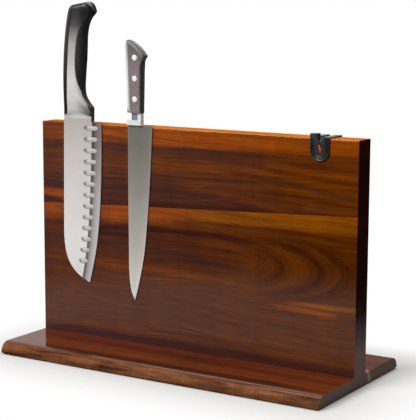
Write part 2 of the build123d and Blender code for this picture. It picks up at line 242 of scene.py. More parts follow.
makeCamera()
makeAir()
makeFloor()
for name in ("key", "top", "front"):
    makeSoftbox(name)
bpy.context.scene.view_settings.view_transform = "Standard"
print("studio ready")


socketKinds = {"value": "NodeSocketFloat", "vector": "NodeSocketVector", "whole": "NodeSocketInt",
               "shape": "NodeSocketGeometry", "material": "NodeSocketMaterial"}


# a tree of its own with named inputs, as (label, kind, start) or (label, kind), and named outputs
def newTree(name, treeKind, inputs, outputs):
    tree = bpy.data.node_groups.new(name, treeKind)
    for label, kind, *start in inputs:
        made = tree.interface.new_socket(label, in_out="INPUT", socket_type=socketKinds[kind])
        if start:
            made.default_value = start[0]
    for label, kind in outputs:
        tree.interface.new_socket(label, in_out="OUTPUT", socket_type=socketKinds[kind])
    return tree, tree.nodes.new("NodeGroupInput").outputs, tree.nodes.new("NodeGroupOutput").inputs


def useGroup(tree, group, inputs):
    return addNode(tree, "ShaderNodeGroup", inputs, node_tree=group).outputs


# wood that runs along x, in millimetres: along, across, detail, roughness, and the span that each noise fills
grainNoise = {
    "wide": (0.007, 0.03, 2.0, 0.5), "small": (0.013, 0.14, 3.0, 0.55), "hair": (0.022, 0.9, 3.0, 0.65),
    "arc": (0.0045, 0.011, 1.0, 0.5), "fibre": (0.024, 1.4, 4.0, 0.7, 0.28, 0.72),
    "drift": (0.008, 0.2, 3.0, 0.6, 0.3, 0.7), "pores": (0.11, 1.7, 2.0, 0.5, 0.62, 0.74),
    "curl": (0.05, 0.012, 3.0, 0.5, 0.3, 0.7), "waver": 4.0,
}


# a bent place, with the shades of fibres, pores, cross curl and slow drift
def makeGrainGroup():
    tree, given, leave = newTree(
        "acaciaGrain", "ShaderNodeTree",
        [("Place", "vector"), ("Seed", "vector"), ("Bend", "value", 5.0), ("Sweep", "value", 34.0)],
        [("Place", "vector"), ("Fibre", "value"), ("Pores", "value"), ("Curl", "value"), ("Drift", "value")])

    def grained(vector, name):
        along, across, detail, rough, *fill = grainNoise[name]
        made = noise(tree, vector, (along, across, across), detail, rough)
        return span(tree, made, *fill) if fill else minus(tree, made, 0.5)

    moved = shifted(tree, given["Place"], given["Seed"])
    rise = times(tree, grained(moved, "wide"), given["Bend"])
    for name in ("small", "hair"):
        rise = timesPlus(tree, grained(moved, name), grainNoise["waver"], rise)
    feed(tree, leave["Place"], shifted(tree, given["Place"], vectorOf(tree, z=rise)))
    # the fibres sweep in long arcs of their own
    swept = shifted(tree, moved, vectorOf(tree, z=times(tree, grained(moved, "arc"), given["Sweep"])))
    for label, vector in (("Fibre", swept), ("Drift", swept), ("Pores", moved), ("Curl", moved)):
        feed(tree, leave[label], grained(vector, label.lower()))
    return tree


# one long streak of figure: a bent band with soft sides and ends
def makeStreakGroup():
    tree, given, leave = newTree(
        "figureStreak", "ShaderNodeTree",
        [("Place", "vector"), ("Along", "value"), ("Height", "value"), ("Reach", "value"), ("Width", "value"),
         ("Slope", "value"), ("Bow", "value"), ("Soft", "value"), ("Amount", "value")], [("Mask", "value")])
    place = parts(tree, given["Place"])
    run = minus(tree, place["X"], given["Along"])
    bow = times(tree, given["Bow"], reckon(tree, "POWER", times(tree, run, 0.01), 2.0))
    middle = plus(tree, timesPlus(tree, run, given["Slope"], given["Height"]), bow)
    off = ratio(tree, absolute(tree, minus(tree, place["Z"], middle)), given["Width"])
    side = ease(tree, off, plus(tree, 1.0, given["Soft"]), minus(tree, 1.0, given["Soft"]))
    ends = ease(tree, ratio(tree, absolute(tree, run), given["Reach"]), 1.15, 0.6)
    feed(tree, leave["Mask"], times(tree, times(tree, side, ends), given["Amount"]))
    return tree


grainGroup = makeGrainGroup()
streakGroup = makeStreakGroup()


def newMaterial(name, constants):
    made = bpy.data.materials.new(name)
    made.use_nodes = True
    tree = made.node_tree
    tree.nodes.clear()
    shader = tree.nodes.new("ShaderNodeBsdfPrincipled")
    addNode(tree, "ShaderNodeOutputMaterial", {"Surface": shader.outputs[0]})
    for label, value in constants.items():
        shader.inputs[label].default_value = value
    return made, tree, shader


def millimetres(tree, place=None):
    place = place or addNode(tree, "ShaderNodeTexCoord").outputs["Object"]
    return shifted(tree, place, (1000, 1000, 1000), "MULTIPLY")


def dress(tree, shader, colour, rough=None):
    feed(tree, shader.inputs["Base Color"], colour)
    if rough is not None:
        feed(tree, shader.inputs["Roughness"], rough)


def bump(tree, shader, height, strength, depth):
    made = addNode(tree, "ShaderNodeBump", {"Height": height, "Strength": strength, "Distance": depth})
    feed(tree, shader.inputs["Normal"], made.outputs[0])


def ramp(tree, value, tones, interpolation="LINEAR"):
    made = tree.nodes.new("ShaderNodeValToRGB")
    made.color_ramp.interpolation = interpolation
    points = made.color_ramp.elements
    while len(points) < len(tones):
        points.new(0.5)
    low, high = tones[0][0], tones[-1][0]
    for point, (height, shade) in zip(points, tones):
        point.position = (height - low) / (high - low)
        point.color = shade
    feed(tree, made.inputs[0], span(tree, value, low, high))
    return made.outputs[0]


acacia = {
    "deep": tint(52, 14, 2), "plum": tint(66, 32, 16), "umber": tint(86, 42, 12), "tan": tint(101, 47, 5),
    "orange": tint(131, 60, 4), "gold": tint(119, 62, 2), "honey": tint(86, 41, 1), "contactShade": tint(54, 8, 0),
    "rust": tint(68, 24, 3), "pale": tint(150, 116, 72), "amber": tint(98, 46, 1), "bronze": tint(80, 36, 1),
    "russet": tint(60, 20, 1), "earth": tint(82, 38, 6),
    "baseRed": tint(96, 34, 0), "baseTan": tint(95, 37, 0), "baseDark": tint(42, 4, 0),
    "endDark": tint(14, 3, 2), "endLight": tint(40, 15, 9), "endLow": tint(84, 52, 26),
    "baseEndDark": tint(62, 30, 18), "baseEndLight": tint(98, 58, 38), "baseEndPale": tint(140, 112, 76),
    "roundDark": tint(58, 30, 18), "roundLight": tint(128, 80, 50),
}
board = {
    "gloss": {"IOR": 1.5, "Coat Weight": 1.0, "Coat Roughness": 0.08, "Specular IOR Level": 0.0},
    "fibreDepth": 0.48, "curlDepth": 0.12, "driftDepth": 0.24, "poreDepth": 0.5,
    "rough": (0.42, 0.32), "poreRough": 0.15, "relief": (0.10, 0.0002),
    "lookingUp": (0.75, 0.97), "endFace": (0.6, 0.9), "endAmount": 0.92,
    "paintedTopLight": (1.7, 2.35, 0.25, 1.0), "edgeSheen": 0.02,  # painted light: faces that look up are made brighter and warmer, as if lit from above
    "paintedReflection": (0.003, 0.006, 0.010, 1.0), "paintedReflectionRun": (197, -197), "paintedReflectionFacing": (-0.5, -0.9),
    "endPaleBelow": (52, 34), "endSheenFrom": (48, 78), "endSheen": 0.15,  # heights on the end grain
}
lying = {
    "slant": 0.65, "top": 13.6,  # how the figure runs on down the rounded edge
    "blotch": (0.014, 0.12, 0.12), "blotchSpan": (0.36, 0.6),
    "ripple": (0.42, 0.04, 0.04), "rippleSpan": (0.35, 0.65, 0.3, 0.0),
    "roundFacing": (0.2, 0.9, 0.85, 0), "roundSheen": 0.03, "behind": (4, 14, 1.0, 0.3),
    "wedge": 24.5, "wedgeSlant": 0.35, "wedgeHalf": (4.2, 2.6),  # the pale strip on the end grain
}

# streaks: along, height, reach, width, slope, bow, soft, amount, colour
upperFigure = (
    (60, 246, 300, 10.5, 0.0, 0.0, 0.25, 1.0, "orange"),
    (-175, 253, 20, 3.5, 0.0, 0.0, 0.7, 0.8, "umber"),
    (-180, 241, 40, 8.5, 0.0, 0.0, 0.5, 0.75, "tan"),
    (-90, 238, 42, 3.2, -0.10, 3.0, 0.8, 0.75, "umber"),
    (-20, 228, 110, 4.5, 0.0, 0.0, 0.7, 0.9, "plum"),
    (70, 231, 120, 2.6, -0.01, 0.0, 0.8, 0.85, "plum"),
    (80, 223, 120, 2.2, -0.01, 0.0, 0.8, 0.8, "plum"),
    (20, 213, 130, 4.5, -0.01, 0.0, 0.8, 0.85, "tan"),
    (10, 203, 90, 1.8, 0.01, 0.0, 0.8, 0.8, "plum"),
    (-140, 228, 60, 4.5, 0.0, 0.0, 0.8, 0.8, "plum"),
    (165, 207, 75, 27, 0.0, 0.0, 0.9, 0.9, "amber"),
    (170, 223, 60, 3.0, -0.05, 0.0, 0.9, 0.6, "rust"),
    (150, 213, 70, 2.2, -0.08, 0.0, 0.9, 0.5, "rust"),
    (120, 205, 90, 2.4, -0.12, -2.0, 0.9, 0.65, "plum"),
    (150, 192, 60, 2.0, -0.10, 0.0, 0.9, 0.55, "rust"),
    (45, 190, 140, 3.5, -0.14, -3.0, 0.9, 0.75, "plum"),
    (-70, 182, 130, 14, -0.04, 0.0, 0.9, 0.8, "plum"),
    (60, 187, 80, 4.0, -0.12, -2.0, 0.9, 0.6, "tan"),
    (-186, 173.5, 26, 4.5, -0.06, 0.0, 0.7, 0.9, "orange"),
    (20, 172, 90, 3.5, 0.03, 0.0, 0.9, 0.7, "deep"),
    (150, 178, 50, 2.5, -0.02, 0.0, 0.9, 0.5, "rust"),
    (-130, 210, 90, 7.0, 0.0, 0.0, 0.9, 0.4, "umber"),
)
lowerFigure = (
    (-120, 155, 110, 7.0, 0.03, 0.0, 0.7, 0.8, "orange"),
    (-60, 162, 160, 6.5, 0.042, 0.0, 0.45, 1.0, "orange"),
    (120, 166.5, 130, 8.5, 0.02, 0.0, 0.6, 1.0, "gold"),
    (110, 155.5, 120, 2.2, -0.04, -3.0, 0.8, 0.75, "rust"),
    (0, 143, 150, 3.2, 0.0, -3.0, 0.9, 0.9, "deep"),
    (-100, 133, 60, 3.0, 0.0, 0.0, 0.9, 0.7, "deep"),
    (-130, 121, 90, 7, 0.0, 0.0, 0.8, 0.8, "plum"),
    (10, 128, 60, 3.0, -0.05, 0.0, 0.9, 0.6, "rust"),
    (0, 116, 80, 6.0, -0.08, 0.0, 0.9, 0.9, "plum"),
    (-60, 99, 130, 4.5, -0.02, 0.0, 0.8, 0.8, "tan"),
    (-10, 92, 80, 1.6, -0.02, 0.0, 0.9, 0.6, "rust"),
    (20, 88, 110, 4.0, -0.04, 0.0, 0.9, 0.7, "honey"),
    (165, 83, 50, 2.6, 0.03, 4.0, 0.8, 1.0, "gold"),
    (138, 76.5, 40, 2.2, -0.02, 0.0, 0.8, 0.8, "orange"),
    (120, 66, 80, 3.0, 0.0, 0.0, 0.9, 0.6, "earth"),
    # painted shadow along the bottom, where the board meets the base
    (0, 17, 300, 5.5, 0.0, 0.0, 0.8, 0.75, "contactShade"),
)
rearUpperFigure = (
    (0, 241, 330, 8.0, 0.01, 0.0, 0.4, 0.85, "orange"),
    (-60, 224, 150, 6.0, 0.02, 2.0, 0.9, 0.8, "plum"),
    (70, 212, 120, 8.0, 0.04, -2.0, 0.9, 0.7, "tan"),
    (-90, 203, 120, 7.0, -0.03, 0.0, 0.9, 0.5, "honey"),
    (20, 192, 170, 5.0, 0.06, 3.0, 0.9, 0.8, "plum"),
    (120, 186, 70, 6.0, 0.05, 0.0, 0.9, 0.6, "deep"),
    (-120, 178, 80, 6.0, 0.04, 0.0, 0.9, 0.7, "rust"),
)
rearLowerFigure = (
    (20, 161, 240, 7.0, 0.042, 0.0, 0.5, 0.8, "tan"),
    (-80, 140, 130, 6.0, 0.0, 4.0, 0.9, 0.8, "deep"),
    (90, 128, 110, 9.0, -0.03, 3.0, 0.9, 0.8, "plum"),
    (-60, 112, 130, 9.0, 0.02, -3.0, 0.9, 0.7, "honey"),
    (60, 97, 140, 4.0, 0.03, 3.0, 0.9, 0.8, "rust"),
    (-100, 84, 90, 5.0, -0.02, 0.0, 0.8, 0.7, "tan"),
    (100, 66, 120, 8.0, 0.0, 3.0, 0.9, 0.6, "plum"),
    (-20, 46, 160, 6.0, 0.01, 0.0, 0.9, 0.5, "tan"),
    # painted shadow along the bottom, where the board meets the base
    (0, 20, 300, 6.5, 0.0, 0.0, 0.6, 0.8, "deep"),
)

# the boards' own tone by height: (height, colour) from the bottom up
upperTones = ((160, "plum"), (185, "plum"), (200, "umber"), (222, "umber"), (236, "umber"), (254, "orange"))
lowerTones = ((14, "plum"), (26, "umber"), (60, "earth"), (88, "earth"), (100, "bronze"), (140, "bronze"),
              (154, "honey"), (178, "orange"))
# nested arches around a tip at the right: (distance from their middle line, colour)
arch = {
    "height": 117.0, "start": 30.0, "rise": 0.262, "lane": 40.0, "sweep": 8.0, "amount": 0.68,
    "along": (45, 110), "across": (40, 26), "far": (48, 40),
    "tones": ((0, "bronze"), (10, "amber"), (19, "bronze"), (22, "russet"), (24.5, "bronze"), (28, "amber"),
              (31, "bronze"), (34, "russet"), (37, "bronze"), (41, "russet"), (46, "russet"), (50, "bronze")),
}


def woodRamp(tree, height, tones):
    return ramp(tree, height, [(level, acacia[shade]) for level, shade in tones], "EASE")


# colour, fibres and drift with the arches laid into them
def nestArches(tree, spot, colour, fibre, drift, seed):
    past = reckon(tree, "MAXIMUM", minus(tree, spot["X"], arch["start"]), 0.0)
    rise = times(tree, past, arch["rise"])
    off = minus(tree, spot["Z"], arch["height"])
    far = reckon(tree, "SQRT", timesPlus(tree, off, off, times(tree, rise, rise)))
    rings = useGroup(tree, grainGroup, {"Place": vectorOf(tree, spot["X"], arch["lane"], far), "Seed": seed,
                                        "Sweep": arch["sweep"]})
    inside = times(tree, ease(tree, spot["X"], *arch["along"]), ease(tree, far, *arch["far"]))
    inside = times(tree, inside, ease(tree, absolute(tree, off), *arch["across"]))
    arched = woodRamp(tree, parts(tree, rings["Place"])["Z"], arch["tones"])
    colour = blend(tree, times(tree, inside, arch["amount"]), colour, arched)
    mixed = [addNode(tree, "ShaderNodeMix", {0: inside, 2: plain, 3: bent}).outputs[0]
             for plain, bent in ((fibre, rings["Fibre"]), (drift, rings["Drift"]))]
    return colour, *mixed


# the rounded edge cuts across the grain, so it is blotched, rippled and less glossy
def finishLying(tree, colour, shade, place, real, above, endwards):
    level = reckon(tree, "MAXIMUM", above, endwards)
    blotch = span(tree, noise(tree, place, lying["blotch"], 4.0, 0.65), *lying["blotchSpan"])
    ripple = span(tree, noise(tree, place, lying["ripple"]), *lying["rippleSpan"])
    cut = blend(tree, blotch, acacia["roundDark"], acacia["roundLight"])
    cut = darken(tree, blend(tree, ripple, cut, acacia["roundDark"]), shade)
    colour = blend(tree, span(tree, level, *lying["roundFacing"]), colour, cut)
    behind = reckon(tree, "MAXIMUM", span(tree, real["Y"], *lying["behind"]), endwards)
    return colour, times(tree, span(tree, level, 0, 1, lying["roundSheen"], 1.0), behind)


def finishUpright(tree, colour, real, facing, above, endwards):
    # painted light: faces that look up are made brighter and warmer
    colour = blend(tree, above, colour, darken(tree, colour, board["paintedTopLight"]))
    dull = times(tree, endwards, span(tree, real["Z"], *board["endSheenFrom"]))
    sheen = times(tree, span(tree, above, 0, 1, 1.0, board["edgeSheen"]),
                  span(tree, dull, 0, 1, 1, board["endSheen"]))
    # painted reflection: a faint bluish haze is added to front faces, stronger towards the left
    reflecting = ease(tree, real["X"], *board["paintedReflectionRun"])
    reflecting = times(tree, reflecting, span(tree, facing["Y"], *board["paintedReflectionFacing"]))
    return blend(tree, reflecting, colour, blend(tree, 1.0, colour, board["paintedReflection"], "ADD")), sheen


def endGrain(tree, bent, real, flat):
    rings = noise(tree, bent, (0.02, 0.5, 0.5), 4.0, 0.7)
    if flat:
        shade = blend(tree, rings, acacia["baseEndDark"], acacia["baseEndLight"])
        off = timesPlus(tree, real["Z"], lying["wedgeSlant"], real["Y"])
        off = absolute(tree, minus(tree, off, lying["wedge"]))
        return blend(tree, ease(tree, off, *lying["wedgeHalf"]), shade, acacia["baseEndPale"])
    shade = blend(tree, rings, acacia["endDark"], acacia["endLight"])
    return blend(tree, ease(tree, real["Z"], *board["endPaleBelow"]), shade, acacia["endLow"])


# wood colour from tones and streaks, then fibres, pores, curl and the end grain
def makeAcacia(name, tones, figure, seed, flat=False, arched=False):
    made, tree, shader = newMaterial(name, board["gloss"])
    place = millimetres(tree)
    real = parts(tree, place)
    grain = useGroup(tree, grainGroup, {"Place": place, "Seed": seed})
    bent = grain["Place"]
    if flat:
        # a board that lies down shows its width where an upright one shows its height
        lift = minus(tree, parts(tree, bent)["Z"], real["Z"])
        width = plus(tree, timesPlus(tree, real["Z"], lying["slant"], real["Y"]), lift)
        bent = vectorOf(tree, real["X"], real["Z"], minus(tree, width, lying["top"] * lying["slant"]))
    spot = parts(tree, bent)
    colour = woodRamp(tree, spot["Z"], tones)
    labels = ("Along", "Height", "Reach", "Width", "Slope", "Bow", "Soft", "Amount")
    for *facts, shade in figure:
        mask = useGroup(tree, streakGroup, {"Place": bent, **dict(zip(labels, facts))})["Mask"]
        colour = blend(tree, mask, colour, acacia[shade])
    fibre, drift, pores = grain["Fibre"], grain["Drift"], grain["Pores"]
    if arched:
        colour, fibre, drift = nestArches(tree, spot, colour, fibre, drift, seed)
    depth = span(tree, pores, 0, 1, 1, board["poreDepth"])
    for value, label in ((fibre, "fibreDepth"), (drift, "driftDepth"), (grain["Curl"], "curlDepth")):
        depth = times(tree, depth, span(tree, value, 0, 1, 1 - board[label], 1 + board[label]))
    shade = greyOf(tree, depth)
    colour = darken(tree, colour, shade)
    facing = parts(tree, addNode(tree, "ShaderNodeNewGeometry").outputs["Normal"])
    above = span(tree, facing["Z"], *board["lookingUp"])
    endwards = absolute(tree, facing["X"])
    if flat:
        colour, sheen = finishLying(tree, colour, shade, place, real, above, endwards)
    else:
        colour, sheen = finishUpright(tree, colour, real, facing, above, endwards)
    end = times(tree, span(tree, endwards, *board["endFace"]), board["endAmount"])
    rough = plus(tree, span(tree, fibre, 0, 1, *board["rough"]), times(tree, pores, board["poreRough"]))
    feed(tree, shader.inputs["Coat Weight"], sheen)
    dress(tree, shader, blend(tree, end, colour, endGrain(tree, bent, real, flat)),
          rough)
    bump(tree, shader, minus(tree, times(tree, fibre, 0.4), pores), *board["relief"])
    return made


def paint(node, material):
    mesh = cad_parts[node].data
    mesh.materials.clear()
    mesh.materials.append(material)


baseTones = ((-92, "umber"), (-82, "umber"), (-62, "baseTan"), (-20, "baseRed"), (30, "baseRed"),
             (92, "umber"))
baseFigure = (
    (20, -73.5, 190, 5.5, 0.0, 0.0, 0.5, 0.9, "baseDark"),
    (-20, -62, 110, 6.0, 0.0, 0.0, 0.9, 0.6, "baseTan"),
    (100, -40, 120, 7.0, 0.0, 0.0, 0.9, 0.4, "baseDark"),
    (150, -30, 60, 4.0, 0.0, 0.0, 0.9, 0.7, "tan"),
    (-60, -34, 120, 6.0, 0.02, 0.0, 0.9, 0.4, "baseDark"),
    (110, 18.5, 130, 4.7, 0.0, 0.0, 0.3, 0.9, "pale"),
    (0, 45, 220, 6.0, 0.01, 0.0, 0.9, 0.6, "deep"),
    (40, 66, 200, 7.0, -0.01, 0.0, 0.9, 0.6, "tan"),
)
for node, name, tones, figure, seed, settings in (
        ("front_upper_stave", "acaciaFrontUpper", upperTones, upperFigure, (0, 0, 0), {}),
        ("front_lower_stave", "acaciaFrontLower", lowerTones, lowerFigure, (311, 70, 40), {"arched": True}),
        ("rear_upper_stave", "acaciaRearUpper", upperTones, rearUpperFigure, (-420, 150, 90), {}),
        ("rear_lower_stave", "acaciaRearLower", lowerTones, rearLowerFigure, (840, 260, 10), {}),
        ("base_front_stave", "acaciaBaseFront", baseTones, baseFigure, (120, 500, 33), {"flat": True}),
        ("base_rear_stave", "acaciaBaseRear", baseTones, baseFigure, (-260, 610, 47), {"flat": True})):
    paint(node, makeAcacia(name, tones, figure, seed, **settings))
print("boards painted")


# fine parallel scratches: their shade and depth, along the chosen way
def makeBrushGroup():
    tree, given, leave = newTree(
        "brushedLines", "ShaderNodeTree", [("Place", "vector"), ("Stretch", "vector"), ("Contrast", "value")],
        [("Shade", "value"), ("Depth", "value")])
    fine = noise(tree, shifted(tree, given["Place"], given["Stretch"], "MULTIPLY"), None, 4.0, 0.7)
    broad = noise(tree, given["Place"], None, 2.0, scale=0.035)
    both = timesPlus(tree, broad, 0.35, times(tree, fine, 0.65))
    feed(tree, leave["Shade"], timesPlus(tree, minus(tree, both, 0.5), given["Contrast"], 1.0))
    feed(tree, leave["Depth"], fine)
    return tree


# smudges and fine dust, 0 to 1
def makeHandlingGroup():
    tree, given, leave = newTree(
        "handlingMarks", "ShaderNodeTree", [("Place", "vector"), ("Scale", "value", 0.08)],
        [("Smudge", "value"), ("Grain", "value")])
    cloud = noise(tree, given["Place"], None, 4.0, 0.6, given["Scale"])
    feed(tree, leave["Smudge"], span(tree, cloud, 0.38, 0.68))
    feed(tree, leave["Grain"], noise(tree, given["Place"], None, 2.0, scale=3.2))
    return tree


brushGroup = makeBrushGroup()
handlingGroup = makeHandlingGroup()


def grey(value):
    return tint(value, value, value)


# tones run along axis: (millimetres, colour)
def makeSteel(name, tones, axis="Z", metallic=0.6, rough=0.32, stretch=(2.0, 2.0, 0.05), contrast=0.5):
    made, tree, shader = newMaterial(name, {"Metallic": metallic, "IOR": 1.6, "Coat Weight": 0.0,
                                            "Coat Roughness": 0.1})
    place = millimetres(tree)
    brush = useGroup(tree, brushGroup, {"Place": place, "Stretch": stretch, "Contrast": contrast})
    marks = useGroup(tree, handlingGroup, {"Place": place})
    colour = darken(tree, ramp(tree, parts(tree, place)[axis], tones), greyOf(tree, brush["Shade"]))
    dress(tree, shader, colour,
          timesPlus(tree, marks["Smudge"], 0.07, rough))
    bump(tree, shader, brush["Depth"], 0.06, 0.0001)
    return made, tree, shader, colour


def makePlastic(name, shade, worn, rough, grain=0.25, coat=0.0):
    made, tree, shader = newMaterial(name, {"IOR": 1.48, "Coat Weight": coat, "Coat Roughness": 0.18})
    marks = useGroup(tree, handlingGroup, {"Place": millimetres(tree), "Scale": 0.12})
    dress(tree, shader, blend(tree, times(tree, marks["Smudge"], 0.6), shade, worn),
          timesPlus(tree, marks["Smudge"], 0.12, rough))
    bump(tree, shader, marks["Grain"], grain, 0.00015)
    return made


# the slicer's stained scales, in millimetres: fibres run up the handle
scale = {
    "dark": tint(44, 36, 39), "light": tint(156, 140, 143), "paintedHighlight": tint(236, 234, 234),
    "shaded": tint(24, 22, 23), "fibre": (2.2, 2.2, 0.16), "flecks": (0.9, 0.9, 0.6),
    "butt": (318, 340, 0, 0.55),  # darker towards the top
    "spine": -76.6, "highlightReach": (345, 270, 1.6, 5.4), "highlightAmount": (350, 300, 0.3, 0.95),
    "belly": (318, 331, -59.9, -55.2), "bellySoft": (-1.6, 0.8), "bellyAmount": (-13.2, -11.6, 0.85, 0.45),
    "topShade": (0.2, 0.5),
}


# stained grained wood, with a painted highlight on its spine side and painted shade on its belly side
def makeScaleWood():
    made, tree, shader = newMaterial("stainedScale", {"IOR": 1.5, "Coat Weight": 0.2, "Coat Roughness": 0.3})
    place = millimetres(tree)
    spot = parts(tree, place)
    fibre = noise(tree, place, scale["fibre"], 4.0, 0.7)
    flecks = noise(tree, place, scale["flecks"], 3.0, 0.7)
    mix = plus(tree, span(tree, fibre, 0.3, 0.7, 0, 0.45), span(tree, flecks, 0.38, 0.62, 0, 0.55))
    colour = blend(tree, mix, scale["dark"], scale["light"])
    colour = blend(tree, span(tree, spot["Z"], *scale["butt"]), colour, scale["dark"])
    # painted highlight: the spine side is lightened, wider and stronger towards the bottom
    left = ratio(tree, minus(tree, spot["X"], scale["spine"]),
                  span(tree, spot["Z"], *scale["highlightReach"]))
    left = times(tree, ease(tree, left, 0, 1, 1, 0), span(tree, spot["Z"], *scale["highlightAmount"]))
    colour = blend(tree, left, colour, scale["paintedHighlight"])
    # painted shade: the belly side is darkened, less on the rear scale
    right = ease(tree, minus(tree, spot["X"], ease(tree, spot["Z"], *scale["belly"])), *scale["bellySoft"])
    right = times(tree, right, span(tree, spot["Y"], *scale["bellyAmount"]))
    colour = blend(tree, right, colour, scale["shaded"])
    # painted shade: faces that look up are darkened
    raised = parts(tree, addNode(tree, "ShaderNodeNewGeometry").outputs["Normal"])["Z"]
    colour = blend(tree, span(tree, raised, *scale["topShade"]), colour, scale["shaded"])
    dress(tree, shader, colour,
          span(tree, fibre, 0.3, 0.7, 0.5, 0.38))
    bump(tree, shader, fibre, 0.3, 0.0003)
    return made


def makePlainWood(name, dark, light):
    made, tree, shader = newMaterial(name, {"IOR": 1.5})
    fibre = noise(tree, millimetres(tree), (2.2, 0.16, 2.2), 4.0, 0.7)
    dress(tree, shader, blend(tree, span(tree, fibre, 0.3, 0.7), dark, light),
          span(tree, fibre, 0.3, 0.7, 0.6, 0.45))
    bump(tree, shader, fibre, 0.3, 0.0003)
    return made


# the santoku's side panels: tones by height, with painted shade where they flare towards the heel
panel = {
    "tones": ((261, tint(150, 144, 142)), (267, tint(196, 190, 187)), (270, tint(212, 207, 204)),
              (300, tint(218, 212, 209)), (320, tint(190, 184, 180)), (340, tint(166, 160, 156)),
              (354, tint(112, 108, 106)), (362, grey(62)), (372, grey(30)), (388, grey(20))),
    "flareAcross": (-147, -129), "flareUp": (302, 274), "flareAmount": 0.85, "flareShade": grey(96),
}


def makePanelSteel():
    made, tree, shader, colour = makeSteel("satinPanel", panel["tones"], metallic=0.25, rough=0.4,
                                           contrast=0.25)
    spot = parts(tree, millimetres(tree))
    # painted shade where the panel flares towards the heel
    flare = ease(tree, spot["X"], *panel["flareAcross"], 0, panel["flareAmount"])
    flare = times(tree, flare, ease(tree, spot["Z"], *panel["flareUp"]))
    colour = blend(tree, flare, colour, panel["flareShade"])
    dress(tree, shader, colour)
    return made


def evenSteel(name, tones, **settings):
    return makeSteel(name, [(height, grey(value)) for height, value in tones], **settings)[0]


steels = {
    "plate": makePanelSteel(),
    "neck": evenSteel("streakedNeck", ((-73, 120), (-67, 150), (-64.5, 150), (-63, 250), (-59, 240)),
                      axis="X", metallic=0.35, rough=0.25, contrast=0.4),
    "bolster": evenSteel("polishedBolster", ((255, 250), (259, 250), (263, 244), (269, 236)), metallic=0.35,
                         rough=0.2, contrast=0.15),
    "screw": evenSteel("plainSteel", ((0, 150), (400, 150)), metallic=0.9, rough=0.35),
    "keeper": evenSteel("rolledSteel", ((0, 120), (400, 130)), metallic=0.9, rough=0.5,
                        stretch=(0.05, 2.0, 2.0)),
    "rivet": evenSteel("brightRivet", ((280, 250), (330, 250)), metallic=0.3, rough=0.25, contrast=0.1),
    "tang": evenSteel("dullTang", ((260, 150), (350, 170)), metallic=0.7, rough=0.35),
}
plastics = {
    "handle": makePlastic("blackHandle", tint(20, 20, 22), tint(28, 28, 30), 0.34, coat=0.25),
    "grip": makePlastic("mattBlackGrip", tint(24, 24, 26), tint(33, 33, 35), 0.62, grain=0.4),
    "sharpener": makePlastic("sharpenerBlack", tint(32, 34, 33), tint(46, 49, 47), 0.3, coat=0.35),
    "foot": makePlastic("softRubber", grey(30), tint(44, 43, 42), 0.75, grain=0.5),
    "ferrite": makePlastic("greyFerrite", tint(52, 50, 50), tint(66, 64, 62), 0.7, grain=0.5),
    "bar": makePlastic("greyCeramic", tint(70, 72, 74), tint(96, 98, 100), 0.5, grain=0.3),
}
scaleWood = makeScaleWood()

# the parts that keep their shape, by finish
for material, nodes in (
        (plastics["ferrite"], ("front_upper_magnets", "front_lower_magnets", "rear_upper_magnets",
                               "rear_lower_magnets")),
        (steels["keeper"], ("upper_keeper_strip", "lower_keeper_strip")),
        (makePlainWood("beechDowel", tint(140, 100, 60), tint(190, 150, 104)), ("locating_dowels",)),
        (steels["screw"], ("base_screws", "sharpener_screw", "santoku_tang_pins")),
        (plastics["foot"], ("rubber_feet",)),
        (plastics["sharpener"], ("sharpener_front_housing", "sharpener_rear_housing")),
        (plastics["bar"], ("sharpener_front_bar", "sharpener_rear_bar"))):
    for node in nodes:
        paint(node, material)
print("finishes ready")


# a smooth line through points: gives the first number of a point at a height
def lineThrough(points):
    points = sorted(points, key=lambda point: point[1])
    xs = [point[0] for point in points]
    zs = [point[1] for point in points]
    steps = [(xs[i + 1] - xs[i]) / (zs[i + 1] - zs[i]) for i in range(len(xs) - 1)]
    slopes = [steps[0]] + [(steps[i - 1] + steps[i]) / 2 for i in range(1, len(steps))] + [steps[-1]]

    def at(z):
        z = min(max(z, zs[0]), zs[-1])
        i = max(k for k in range(len(zs) - 1) if zs[k] <= z)
        gap = zs[i + 1] - zs[i]
        t = (z - zs[i]) / gap
        start = (1 + 2 * t) * (1 - t) ** 2 * xs[i] + t * (1 - t) ** 2 * gap * slopes[i]
        return start + t * t * (3 - 2 * t) * xs[i + 1] + t * t * (t - 1) * gap * slopes[i + 1]
    return at


# numbers spread evenly from low to high, or closer together at both ends
def spread(low, high, count, eased=False):
    shares = [k / (count - 1) for k in range(count)]
    if eased:
        shares = [0.5 - 0.5 * math.cos(math.pi * share) for share in shares]
    return [low + (high - low) * share for share in shares]


# a closed plate from two grids of points in millimetres that share their outline
def closedPlate(name, front, back, grind=None):
    mesh = bmesh.new()
    layer = mesh.verts.layers.float.new("grind") if grind else None
    sides = []
    for grid in (front, back):
        side = []
        for j, row in enumerate(grid):
            side.append([mesh.verts.new(Vector(point) * mm) for point in row])
            for i, corner in enumerate(side[-1] if grind else ()):
                corner[layer] = grind[j][i]
        sides.append(side)
    for side in sides:
        for low, high in zip(side, side[1:]):
            for i in range(len(low) - 1):
                mesh.faces.new((low[i], low[i + 1], high[i + 1], high[i]))
    rims = [side[0] + [row[-1] for row in side[1:-1]] + side[-1][::-1] + [row[0] for row in side[-2:0:-1]]
            for side in sides]
    for i in range(len(rims[0])):
        after = (i + 1) % len(rims[0])
        mesh.faces.new((rims[0][i], rims[0][after], rims[1][after], rims[1][i]))
    bmesh.ops.remove_doubles(mesh, verts=mesh.verts, dist=1e-6)
    bmesh.ops.dissolve_degenerate(mesh, dist=1e-7, edges=mesh.edges)
    return placed(name, mesh)


# a plate made of rows, where makeRow gives a row for side -1 at the front or +1 at the rear
def twoSided(name, makeRow, rows):
    return closedPlate(name, *[[makeRow(side, place) for place in rows] for side in (-1, 1)])


